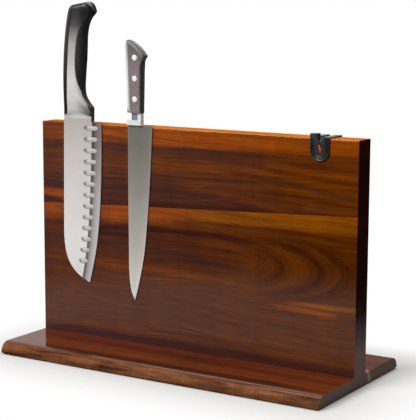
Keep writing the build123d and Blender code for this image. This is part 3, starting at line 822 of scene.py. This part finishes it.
def placed(name, mesh):
    bmesh.ops.recalc_face_normals(mesh, faces=mesh.faces)
    data = bpy.data.meshes.new(name)
    mesh.to_mesh(data)
    mesh.free()
    data.shade_smooth()
    data.set_sharp_from_angle(angle=math.radians(40))
    return link(bpy.data.objects.new(name, data))


# a node tree's result as a plain mesh, and the tree taken off again
def applyTree(piece, tree, values):
    modifier = piece.modifiers.new(tree.name, "NODES")
    modifier.node_group = tree
    labels = {item.name: item.identifier for item in tree.interface.items_tree if item.in_out == "INPUT"}
    for label, value in values.items():
        modifier[labels[label]] = value
    piece.data.calc_loop_triangles()
    graph = bpy.context.evaluated_depsgraph_get()
    graph.update()
    done = bpy.data.meshes.new_from_object(piece.evaluated_get(graph))
    piece.modifiers.clear()
    piece.data = done
    return piece


def shapeTree(name, inputs):
    shape = ("Geometry", "shape")
    return newTree(name, "GeometryNodeTree", [shape, *inputs], [shape])


def endTree(tree, shape, material, leave):
    whole = addNode(tree, "GeometryNodeRealizeInstances", {"Geometry": shape})
    done = addNode(tree, "GeometryNodeSetMaterial", {"Geometry": whole.outputs[0], "Material": material})
    feed(tree, leave[0], done.outputs[0])
    return tree


# joins a piece to its body, in place of the nodes that it stands for
def finish(piece, material, body, slotName, *nodes):
    if material:
        piece.data.materials.clear()
        piece.data.materials.append(material)
    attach(piece, body)
    if nodes:
        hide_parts(*nodes)


# rows of a blade: close together at the tip, then evenly up to the heel
def bladeHeights(facts):
    tip = facts["edge"][0][1]
    first, growth, count = facts["tipRows"]
    heights = [tip + facts["tipGap"]] + [tip + first * growth ** k for k in range(count)]
    while heights[-1] < facts["rowsEnd"]:
        heights.append(heights[-1] + facts["rowGap"])
    heights[-1] = facts["heel"]
    return heights


# a blade from rows of (place across, thickness, share of the grind)
def makeBlade(name, facts, rows):
    front, back = [[[(x, facts["mid"] + side * thick, z) for x, thick, over in row] for z, row in rows]
                   for side in (-1, 1)]
    return closedPlate(name, front, back, [[over for x, thick, over in row] for z, row in rows])


santoku = {
    "mid": -14.2, "half": 1.0,  # millimetres
    "spine": ((-165.1, 255.6), (-165.9, 200), (-166.5, 150), (-166.5, 125), (-164.8, 110), (-160.6, 98),
              (-153.5, 88.4), (-144.5, 81.3), (-137, 77.4), (-131.5, 75.2)),
    "edge": ((-131.5, 75.2), (-127.4, 91), (-123.6, 107), (-120.5, 124.3), (-117, 155), (-114.9, 192),
             (-114.0, 225), (-113.8, 255.0)),
    "tipGap": 0.02, "tipRows": (0.25, 1.09, 12), "rowGap": 0.55, "rowsEnd": 255.2, "heel": 255.4,
    "underHandle": (255.42, 256.4, 257.6, 259.0, 260.6), "underHandleEdge": -127.2,
    "step": -126.4, "stepTop": 249.0, "stepFall": 149.8, "stepLean": 6.0, "stepCurl": 5.2,
    "flatColumns": 34, "grindColumns": 22, "stepWide": 0.5, "stepDeep": 0.16, "grindDeep": 0.74,
    "cornerWide": 0.7, "cornerDeep": 0.3,
    "scallops": {"Count": 13, "Top": 249.1, "Pitch": 12.48, "Place": -127.0, "Lean": 6.5, "Curl": 6.0,
                 "Wide": 8.6, "Narrow": 5.4, "Tall": 2.55, "Depth": 0.4},
    "tones": ((75, tint(224, 218, 215)), (120, tint(228, 224, 221)), (190, tint(211, 205, 202)),
              (250, tint(186, 178, 172)), (262, tint(176, 168, 162))),
    "grindShading": ((0.0, grey(255)), (0.02, tint(100, 96, 98)), (0.2, tint(128, 124, 126)),
                   (0.45, tint(190, 187, 190)), (0.9, tint(222, 220, 222)), (1.0, tint(180, 176, 178))),
    "hollowTones": ((0.0, tint(118, 112, 108)), (0.25, tint(178, 172, 167)), (0.6, tint(206, 201, 196)),
                    (0.95, tint(238, 235, 232))),
    "upperShade": tint(188, 184, 184), "wallShadeTone": tint(96, 90, 88),
}


# the line where the flat side steps down to the ground edge
def stepLine(z):
    fall = (santoku["stepTop"] - z) / santoku["stepFall"]
    return santoku["step"] - santoku["stepLean"] * fall - santoku["stepCurl"] * max(fall, 0) ** 4


def santokuRows():
    spine, edge = lineThrough(santoku["spine"]), lineThrough(santoku["edge"])
    flat, ground = santoku["flatColumns"], santoku["grindColumns"]
    rows = []
    # over the heel only the part under the handle goes on
    for z in bladeHeights(santoku) + list(santoku["underHandle"]):
        left, right = spine(z), edge(z) if z <= santoku["heel"] else santoku["underHandleEdge"]
        step = min(max(stepLine(z), left + 0.02), right - 0.02)
        columns = [left + (step - left) * (1 - (1 - k / flat) ** 1.6) for k in range(flat)]
        columns += [step, step + min(santoku["stepWide"], (right - step) * 0.2)]
        last = columns[-1]
        columns += [last + (right - last) * k / ground for k in range(1, ground + 1)]
        row = []
        for x in columns:
            over = max(0.0, (x - step) / max(right - step, 0.01))
            past = x > step + 0.01
            fall = santoku["stepDeep"] + santoku["grindDeep"] * (1 - (1 - over) ** 2) if past else 0.0
            corner = max(0.0, 1 - (x - left) / santoku["cornerWide"])  # the spine's corner is eased
            row.append((x, santoku["half"] - fall - santoku["cornerDeep"] * corner ** 2, over))
        rows.append((z, row))
    return rows


# presses a row of long hollows into a plate, along a line that leans and curls
def makeScallopTree():
    labels = ("Top", "Pitch", "Place", "Lean", "Curl", "Wide", "Narrow", "Tall", "Depth", "Middle")
    tree, given, leave = shapeTree("scallopRow", [("Count", "whole"), *[(label, "value") for label in labels],
                                                  ("Finish", "material")])
    x, y, z = parts(tree, millimetres(tree, addNode(tree, "GeometryNodeInputPosition").outputs[0]))
    count = minus(tree, given["Count"], 1.0)
    which = reckon(tree, "ROUND", ratio(tree, minus(tree, given["Top"], z), given["Pitch"]))
    which = held(tree, which, 0.0, count)
    share = ratio(tree, which, count)
    height = minus(tree, given["Top"], times(tree, which, given["Pitch"]))
    middle = minus(tree, given["Place"], times(tree, share, given["Lean"]))
    middle = minus(tree, middle, times(tree, reckon(tree, "POWER", share, 4.0), given["Curl"]))
    half = span(tree, share, 0, 1, given["Wide"], given["Narrow"])
    spinewards, rise = minus(tree, middle, x), minus(tree, z, height)
    across = ratio(tree, absolute(tree, spinewards), half)
    along = ratio(tree, absolute(tree, rise), given["Tall"])
    away = plus(tree, reckon(tree, "POWER", across, 3.4), reckon(tree, "POWER", along, 2.4))
    hollow = ease(tree, away, 1.0, 0.45)
    side = reckon(tree, "SIGN", minus(tree, given["Middle"], y))
    push = times(tree, times(tree, times(tree, hollow, side), given["Depth"]), mm)
    # painted shade on the wall at the spine's lower side of each hollow
    lean = minus(tree, times(tree, spinewards, 0.16), times(tree, rise, 0.36))
    wallShade = times(tree, ease(tree, away, 2.6, 1.0), ease(tree, away, 0.3, 0.8))
    wallShade = times(tree, wallShade, ease(tree, lean, 0.1, 0.8))
    # light falls from above, so each hollow is darker towards its foot and its spine end
    spineEnd = span(tree, ratio(tree, spinewards, half), 0.45, 1.0, 0, 0.45)
    glow = minus(tree, timesPlus(tree, ratio(tree, rise, given["Tall"]), 0.5, 0.5), spineEnd)
    shape = given["Geometry"]
    for label, value in (("hollow", hollow), ("wallShade", wallShade), ("glow", glow)):
        kept = {"Geometry": shape, "Name": label, "Value": value}
        shape = addNode(tree, "GeometryNodeStoreNamedAttribute", kept, data_type="FLOAT",
                        domain="POINT").outputs[0]
    moved = addNode(tree, "GeometryNodeSetPosition", {"Geometry": shape, "Offset": vectorOf(tree, y=push)})
    return endTree(tree, moved.outputs[0], given["Finish"], leave)


def makeSantokuSteel():
    made, tree, shader, colour = makeSteel("santokuSteel", santoku["tones"], metallic=0.2, rough=0.4,
                                           stretch=(2.6, 2.6, 0.06), contrast=0.22)
    grind, hollow, glow, wallShade = [addNode(tree, "ShaderNodeAttribute", attribute_name=label).outputs["Fac"]
                                 for label in ("grind", "hollow", "glow", "wallShade")]
    # painted shade just past the step, lighter across the ground edge, a little darker at the very edge
    ground = darken(tree, colour, ramp(tree, grind, santoku["grindShading"]))
    height = parts(tree, millimetres(tree))["Z"]
    upper = times(tree, span(tree, height, 170, 256), span(tree, grind, 0, 0.05))
    ground = blend(tree, upper, ground, darken(tree, ground, santoku["upperShade"]))
    lit = ramp(tree, glow, santoku["hollowTones"])
    # painted light: each hollow is filled with the glow tones, lighter towards its top
    hollowLight = blend(tree, times(tree, hollow, 0.95), ground, lit)
    # painted shade darkens the lower spine-side wall of each hollow
    dress(tree, shader, blend(tree, times(tree, wallShade, 0.85), hollowLight, santoku["wallShadeTone"]))
    return made


slicer = {
    "mid": -14.1, "half": 0.9, "columns": 40, "cornerWide": 0.8, "cornerDeep": 0.3, "grind": 0.9,
    "spine": ((-78.3, 255), (-77.6, 124.6), (-77.1, 92), (-75.6, 78), (-73.2, 69), (-69.7, 62.3)),
    "edge": ((-69.7, 62.3), (-64.6, 82), (-57.9, 113.8), (-53.3, 155), (-50.3, 190), (-46.7, 255)),
    "tipGap": 0.03, "tipRows": (0.3, 1.12, 14), "rowGap": 1.6, "rowsEnd": 253.5, "heel": 255.2,
    "tones": ((62, tint(250, 248, 242)), (90, tint(228, 223, 215)), (130, tint(198, 192, 184)),
              (190, tint(154, 149, 142)), (235, tint(127, 122, 116)), (256, tint(122, 118, 112))),
    "grindShading": ((0.0, grey(255)), (0.05, tint(232, 232, 230)), (0.5, tint(226, 226, 224)),
                   (0.9, tint(236, 236, 234)), (1.0, grey(255))),
}


def slicerRows():
    spine, edge = lineThrough(slicer["spine"]), lineThrough(slicer["edge"])
    rows = []
    for z in bladeHeights(slicer):
        left, right = spine(z), edge(z)
        row = []
        for k in range(slicer["columns"] + 1):
            over = k / slicer["columns"]
            x = left + (right - left) * over
            corner = max(0.0, 1 - (x - left) / slicer["cornerWide"])
            thick = slicer["half"] * (1 - slicer["grind"] * over ** 1.7) - slicer["cornerDeep"] * corner ** 2
            row.append((x, thick, over))
        rows.append((z, row))
    return rows


def makeSlicerSteel():
    made, tree, shader, colour = makeSteel("slicerSteel", slicer["tones"], metallic=0.2, rough=0.36,
                                           stretch=(0.25, 2.0, 1.6), contrast=0.3)
    grind = addNode(tree, "ShaderNodeAttribute", attribute_name="grind").outputs["Fac"]
    # painted highlights along the spine and the edge, a little darker between
    dress(tree, shader, darken(tree, colour, ramp(tree, grind, slicer["grindShading"])))
    return made


santokuBlade = applyTree(makeBlade("santokuBlade", santoku, santokuRows()), makeScallopTree(),
                         dict(santoku["scallops"], Middle=santoku["mid"], Finish=makeSantokuSteel()))
finish(santokuBlade, None, "santoku", "santoku_steel", "santoku_blade")
finish(makeBlade("slicerBlade", slicer, slicerRows()), makeSlicerSteel(), "slicer", "slicer_steel",
       "slicer_blade")
print("blades ground")


# a handle lies between a spine-side line and a belly-side line, with rounded edges and a shaped butt
def makeHandle(facts):
    thick, butt = [lineThrough([point[::-1] for point in facts[label]]) for label in ("thick", "butt")]
    return dict(facts, leftLine=lineThrough(facts["left"]), rightLine=lineThrough(facts["right"]),
                buttLine=butt, thickLine=thick)


# where a share u across and v up the handle lies, and how wide the handle is there
def outline(handle, u, v):
    leftZ, rightZ = [low + (high - low) * v for low, high in (handle["leftSpan"], handle["rightSpan"])]
    left, right = handle["leftLine"](leftZ), handle["rightLine"](rightZ)
    late = max(0.0, (v - 0.7) / 0.3)
    arched = handle["arch"] * math.sin(math.pi * u) * max(0.0, 1 - v / 0.12) ** 1.5
    z = leftZ * (1 - u) + rightZ * u + handle["buttLine"](u) * late ** 1.5 + arched
    return left * (1 - u) + right * u, z, right - left


def rounded(share):
    return math.sqrt(max(0.0, 1 - (1 - share) ** 2))


# a point of the skin: side -1 faces the front, +1 the rear; sink is the depth under the skin
def skin(handle, u, v, side, sink=0.0):
    x, z, width = outline(handle, u, v)
    near = min(u * width / handle["roundLeft"], (1 - u) * width / handle["roundRight"], 1.0)
    ends = min((1 - v) * (handle["leftSpan"][1] - handle["leftSpan"][0]) / handle["roundButt"], 1.0)
    flat = handle["flat"]
    half = handle["thickLine"](v) * (flat + (1 - flat) * rounded(near) * rounded(ends)) - sink
    return (x, handle["mid"] + side * max(half, 0.05), z)


santokuHandle = makeHandle({
    "mid": -14.2, "roundLeft": 8.0, "roundRight": 9.0, "roundButt": 4.6, "flat": 0.25, "arch": 4.2,
    "left": ((-163.6, 262), (-163.2, 275), (-162.7, 310), (-161.3, 335), (-159.2, 354), (-156.2, 370),
             (-153.5, 379.4)),
    "right": ((-126.4, 262), (-125.2, 268), (-125.0, 271), (-131.2, 277.5), (-135.8, 284.5), (-137.4, 292),
              (-137.0, 305), (-135.2, 325), (-134.4, 340), (-133.6, 352), (-130.6, 363), (-125.3, 371),
              (-119.6, 375.5)),
    "leftSpan": (262.0, 379.4), "rightSpan": (262.0, 375.5),
    "butt": ((0.0, 1.2), (0.07, 3.6), (0.3, 6.4), (0.55, 8.6), (0.79, 10.0), (0.9, 6.3), (1.0, 0.0)),
    "thick": ((0.0, 5.4), (0.06, 6.0), (0.15, 7.4), (0.3, 8.5), (0.5, 8.9), (1.0, 8.9)),
    "panelLine": lineThrough(((-157.6, 262), (-156.2, 275), (-153.6, 320), (-150.6, 355), (-147.5, 372),
                              (-146, 386))),
    "gripLine": lineThrough(((-125.6, 264), (-126.6, 269), (-131.6, 278), (-138.0, 289.7), (-142.5, 307),
                             (-142.5, 330), (-137.4, 355.9), (-130.5, 366), (-125.2, 370.9),
                             (-119.0, 375.0))),
    "coreSink": 1.6, "lastRow": 0.985,  # the core lies lower under panel and grip, up to its last rows
    "panelSkin": -0.04, "panelRim": 0.14, "panelDeep": 1.55,
    "gripSkin": -0.12, "gripRim": 0.15, "gripDeep": 1.5, "gripFoot": 0.05,
})
slicerHandle = makeHandle({
    "mid": -14.1, "roundLeft": 3.2, "roundRight": 5.2, "roundButt": 4.0, "flat": 0.5, "arch": 0.0,
    "left": ((-78.6, 268.5), (-78.9, 285), (-79.4, 345)),
    "right": ((-58.9, 268.5), (-58.2, 300), (-57.7, 318), (-56.6, 325.5), (-53.4, 330)),
    "leftSpan": (268.5, 345.0), "rightSpan": (268.5, 330.0),
    "butt": ((0.0, 0.0), (0.13, 3.7), (0.35, 4.6), (0.6, 4.2), (0.85, 2.0), (1.0, 0.0)),
    "thick": ((0.0, 4.6), (0.3, 4.8), (1.0, 4.8)),
    "scaleDeep": 0.9, "tangHalf": 0.95, "cut": 0.27, "cutTop": 0.19,
})
guard = {"heights": (255.9, 271.0), "left": -127.1, "width": 2.9, "half": 1.9, "taper": 0.6, "taperTop": 262}
collar = {"left": -165.0, "width": 37.9, "foot": 259.3, "half": 1.05}
# the slicer's block and neck: left, right, foot, top and half thickness
slicerCollars = {"slicerCollar": (-78.2, -59.6, 255.4, 261.0, 3.3),
                 "slicerNeck": (-72.1, -59.3, 260.8, 268.9, 2.7)}
# rows up the handle, closer together at the butt
rowShares = spread(0.0, 0.84, 64) + spread(0.843, 1.0, 30)


# the share of the width where a line crosses a row of the handle
def crossing(line, v, start):
    u = start
    for turn in range(12):
        x, z, width = outline(santokuHandle, u, v)
        u = min(max(u + (line(z) - x) / width, 0.02), 0.975)
    return u


# where the side panel and the soft grip begin on a row
def seams(v):
    start = crossing(santokuHandle["panelLine"], v, 0.2)
    return start, max(crossing(santokuHandle["gripLine"], v, 0.7), start + 0.1)


def coreRow(side, v):
    start, grip = seams(v)
    last = santokuHandle["lastRow"]
    sink = 0.0 if v > last else santokuHandle["coreSink"]
    row = [skin(santokuHandle, u, v, side) for u in spread(0.0, start, 12, True)]
    row += [skin(santokuHandle, u, v, side, sink) for u in spread(start + 0.004, grip, 16)]
    return row + [skin(santokuHandle, u, v, side, sink) for u in spread(grip + 0.004, last, 12, True)]


def santokuPanel(name, side):
    outer, inner = [], []
    for v in [share for share in rowShares if share <= santokuHandle["lastRow"]]:
        start, grip = seams(v)
        places = spread(start + 0.012, grip - 0.006, 26)
        sinks = [santokuHandle["panelRim"]] + [santokuHandle["panelSkin"]] * 24 + [santokuHandle["panelRim"]]
        outer.append([skin(santokuHandle, u, v, side, sink) for u, sink in zip(places, sinks)])
        inner.append([skin(santokuHandle, u, v, side, santokuHandle["panelDeep"]) for u in places])
    return closedPlate(name, outer, inner)


# the soft grip wraps the belly from the front panel round to the rear one
def bellyGrip():
    outer, inner = [], []
    for v in [share for share in rowShares if santokuHandle["gripFoot"] < share <= santokuHandle["lastRow"]]:
        places = spread(seams(v)[1] + 0.01, 1.0, 18, True)
        sinks = [santokuHandle["gripRim"]] + [santokuHandle["gripSkin"]] * 17
        front, rear = [[skin(santokuHandle, u, v, side, sink) for u, sink in zip(places, sinks)]
                       for side in (-1, 1)]
        outer.append(front + rear[::-1])
        front, rear = [[skin(santokuHandle, min(u, 0.98), v, side, santokuHandle["gripDeep"]) for u in places]
                       for side in (-1, 1)]
        inner.append(front + rear[::-1])
    return closedPlate("santokuBellyGrip", outer, inner)


# a small rounded bar closes the belly down to the heel
def guardRow(side, z):
    half = guard["half"] - guard["taper"] * max(0.0, (guard["taperTop"] - z) / 6)
    row = []
    for u in spread(0.0, 1.0, 9):
        curve = 1 - 0.45 * (2 * u - 1) ** 4
        row.append((guard["left"] + guard["width"] * u, santoku["mid"] + side * half * curve, z))
    return row


# the polished collar sweeps out from the blade to the handle's full thickness
def collarRow(side, w):
    row = []
    for u in spread(0.0, 1.0, 30, True):
        x, y, z = skin(santokuHandle, u, 0.0, side, 0.05)
        half = collar["half"] + (abs(y - santoku["mid"]) - collar["half"]) * w ** 1.7
        row.append(((collar["left"] + collar["width"] * u) * (1 - w) + x * w, santoku["mid"] + side * half,
                    collar["foot"] * (1 - w) + z * w))
    return row


# a row of the slicer's handle at an even depth
def slicerRow(places, v, side, half):
    flat = [outline(slicerHandle, u, v) for u in places]
    return [(x, slicer["mid"] + side * half, z) for x, z, width in flat]


def slicerScale(name, side):
    outer, inner = [], []
    for v in rowShares:
        # the lower corner on the spine side is cut away in an arc
        cut = slicerHandle["cut"] * max(0.0, 1 - v / slicerHandle["cutTop"]) ** 1.8
        places = spread(0.035 + cut, 1.0, 26, True)
        outer.append([skin(slicerHandle, u, v, side) for u in places])
        inner.append(slicerRow(places, v, side, slicerHandle["scaleDeep"]))
    return closedPlate(name, outer, inner)


def tangRow(side, v):
    return slicerRow(spread(0.0, 0.99, 14, True), v, side, slicerHandle["tangHalf"])


# a block with eased edges between blade and scales
def slicerBlock(name):
    left, right, foot, top, half = slicerCollars[name]
    width = right - left

    def blockRow(side, z):
        row = []
        for u in spread(0.0, 1.0, 18, True):
            curve = 0.72 + 0.28 * rounded(min(1.0, u * width / 1.2, (1 - u) * width / 1.2))
            row.append((left + width * u, slicer["mid"] + side * half * curve, z))
        return row
    return twoSided(name, blockRow, spread(foot, top, 12, True))


rivets = {
    "count": 3, "pitch": 22.2, "radius": 3.1, "length": 10.1, "dome": 0.12,
    "place": (-66.4, slicer["mid"], 283.6),  # of the lowest
}


# one rivet head, repeated up the handle
def makeRivetTree():
    labels = [(label, "value") for label in ("Pitch", "Radius", "Length")]
    tree, given, leave = shapeTree("rivetRow", [("Count", "whole"), *labels, ("Finish", "material")])
    line = addNode(tree, "GeometryNodeMeshLine", {"Count": given["Count"]}, mode="OFFSET")
    feed(tree, line.inputs["Offset"], vectorOf(tree, z=given["Pitch"]))
    pin = addNode(tree, "GeometryNodeMeshCylinder", {"Vertices": 48, "Side Segments": 1, "Fill Segments": 4,
                  "Radius": given["Radius"], "Depth": given["Length"]})
    laid = addNode(tree, "GeometryNodeTransform", {"Geometry": pin.outputs[0],
                   "Rotation": (math.pi / 2, 0, 0)}).outputs[0]
    many = addNode(tree, "GeometryNodeInstanceOnPoints", {"Points": line.outputs[0], "Instance": laid})
    return endTree(tree, many.outputs[0], given["Finish"], leave)


# an empty piece for a tree to fill, moved into place with its vertices
def growPiece(name, tree, values, place):
    made = applyTree(link(bpy.data.objects.new(name, bpy.data.meshes.new(name))), tree, values)
    mesh = bmesh.new()
    mesh.from_mesh(made.data)
    bmesh.ops.translate(mesh, verts=mesh.verts, vec=Vector(place) * mm)
    return made, mesh


def makeRivets():
    pitch = rivets["pitch"]
    values = {"Count": rivets["count"], "Pitch": pitch * mm, "Radius": rivets["radius"] * mm,
              "Length": rivets["length"] * mm, "Finish": steels["rivet"]}
    made, mesh = growPiece("slicerRivetRow", makeRivetTree(), values, rivets["place"])
    # the heads are ground a little domed
    for corner in mesh.verts:
        x, y, z = [value / mm - start for value, start in zip(corner.co, rivets["place"])]
        reach = math.hypot(x, (z + pitch / 2) % pitch - pitch / 2)
        side = 1 if y > 0 else -1
        corner.co.y -= side * rivets["dome"] * mm * (reach / rivets["radius"]) ** 4
    mesh.to_mesh(made.data)
    mesh.free()
    return made


finish(twoSided("santokuHandleCore", coreRow, rowShares), plastics["handle"], "santoku", "handle_plastic",
       "santoku_handle_core")
for name, side, node in (("santokuFrontPanel", -1, "santoku_front_plate"),
                         ("santokuRearPanel", 1, "santoku_rear_plate")):
    finish(santokuPanel(name, side), steels["plate"], "santoku", "plate_steel", node)
finish(bellyGrip(), plastics["grip"], "santoku", "grip_plastic", "santoku_belly_grip")
finish(twoSided("santokuGuard", guardRow, spread(*guard["heights"], 12)), plastics["grip"], "santoku",
       "grip_plastic")
finish(twoSided("santokuCollar", collarRow, spread(0.0, 1.0, 16)), steels["bolster"], "santoku",
       "bolster_steel", "santoku_bolster")
finish(slicerScale("slicerFrontScale", -1), scaleWood, "slicer", "scale_wood", "slicer_front_scale")
finish(slicerScale("slicerRearScale", 1), scaleWood, "slicer", "scale_wood", "slicer_rear_scale")
finish(twoSided("slicerTang", tangRow, rowShares), steels["tang"], "slicer", "slicer_steel")
finish(slicerBlock("slicerCollar"), steels["bolster"], "slicer", "bolster_steel", "slicer_bolster")
finish(slicerBlock("slicerNeck"), steels["neck"], "slicer", "bolster_steel")
finish(makeRivets(), steels["rivet"], "slicer", "rivet_steel", "slicer_rivets")
print("handles shaped")


# beads stand out round the sharpener's U, and a leaf of wood is seen in its window
sharpener = {
    "middle": 154.3, "round": 241.4, "top": 254.6, "face": -14.5, "sink": 0.3,
    "beads": ((9.95, 0.72), (8.1, 0.62), (6.2, 0.72)),  # radius of the U and of the bead
    "leafMiddle": (0.2, 242.0), "leafLayers": ((0.9, 1.0), (0.25, 1.0), (0.1, 0.8), (0.0, 0.4)),
    "leaf": ((-2.2, 249.4), (-0.4, 247.2), (1.4, 243.6), (2.4, 241.0), (1.9, 236.2), (0.3, 238.6),
             (-1.0, 242.4), (-1.9, 246.0)),
}


# a round bar bent into a U with straight arms
def makeBeadTree():
    tree, given, leave = shapeTree("sharpenerBead", [
        ("Radius", "value"), ("Straight", "value"), ("Thick", "value"), ("Finish", "material")])
    radius, straight, count = given["Radius"], given["Straight"], 90
    line = addNode(tree, "GeometryNodeMeshLine", {"Count": count}, mode="OFFSET")
    index = addNode(tree, "GeometryNodeInputIndex").outputs[0]
    bend = times(tree, radius, math.pi)
    whole = timesPlus(tree, straight, 2.0, bend)
    run = times(tree, ratio(tree, index, count - 1.0), whole)
    past = minus(tree, run, straight)
    turn = held(tree, ratio(tree, past, radius), 0.0, math.pi)
    down = times(tree, radius, -1.0)
    across, drop = [times(tree, reckon(tree, way, turn), down) for way in ("COSINE", "SINE")]
    left = reckon(tree, "MAXIMUM", times(tree, past, -1.0), 0.0)
    right = reckon(tree, "MAXIMUM", minus(tree, past, bend), 0.0)
    spot = vectorOf(tree, x=across, z=plus(tree, drop, plus(tree, left, right)))
    bent = addNode(tree, "GeometryNodeSetPosition", {"Geometry": line.outputs[0], "Position": spot})
    path = addNode(tree, "GeometryNodeMeshToCurve", {0: bent.outputs[0]}).outputs[0]
    ring = addNode(tree, "GeometryNodeCurvePrimitiveCircle", {"Resolution": 16, "Radius": given["Thick"]})
    bead = addNode(tree, "GeometryNodeCurveToMesh", {"Curve": path, "Profile Curve": ring.outputs[0],
                   "Fill Caps": True})
    return endTree(tree, bead.outputs[0], given["Finish"], leave)


def makeBeads():
    tree = makeBeadTree()
    place = (sharpener["middle"], sharpener["face"] + sharpener["sink"], sharpener["round"])
    straight = (sharpener["top"] - sharpener["round"]) * mm
    for number, (radius, thick) in enumerate(sharpener["beads"], 1):
        values = {"Radius": radius * mm, "Straight": straight, "Thick": thick * mm,
                  "Finish": plastics["sharpener"]}
        made, mesh = growPiece(f"sharpenerBead{number}", tree, values, place)
        bmesh.ops.recalc_face_normals(mesh, faces=mesh.faces)
        mesh.to_mesh(made.data)
        mesh.free()
        made.data.shade_smooth()
        finish(made, plastics["sharpener"], "stand", "sharpener_plastic")


# a thin leaf with a raised middle, flush in the window
def makeLeaf():
    mesh = bmesh.new()
    rings = []
    for depth, share in sharpener["leafLayers"]:
        spots = [Vector(spot).lerp(Vector(sharpener["leafMiddle"]), 1 - share) for spot in sharpener["leaf"]]
        rings.append([mesh.verts.new(Vector((sharpener["middle"] + x, sharpener["face"] + depth, z)) * mm)
                      for x, z in spots])
    for low, high in zip(rings, rings[1:]):
        for i in range(len(low)):
            j = (i + 1) % len(low)
            mesh.faces.new((low[i], low[j], high[j], high[i]))
    mesh.faces.new(rings[0][::-1])
    mesh.faces.new(rings[-1])
    return placed("sharpenerLeaf", mesh)


makeBeads()
finish(makeLeaf(), makePlainWood("brightLeaf", tint(110, 28, 3), tint(200, 70, 10)), "stand", "board_wood")
print("sharpener trimmed")
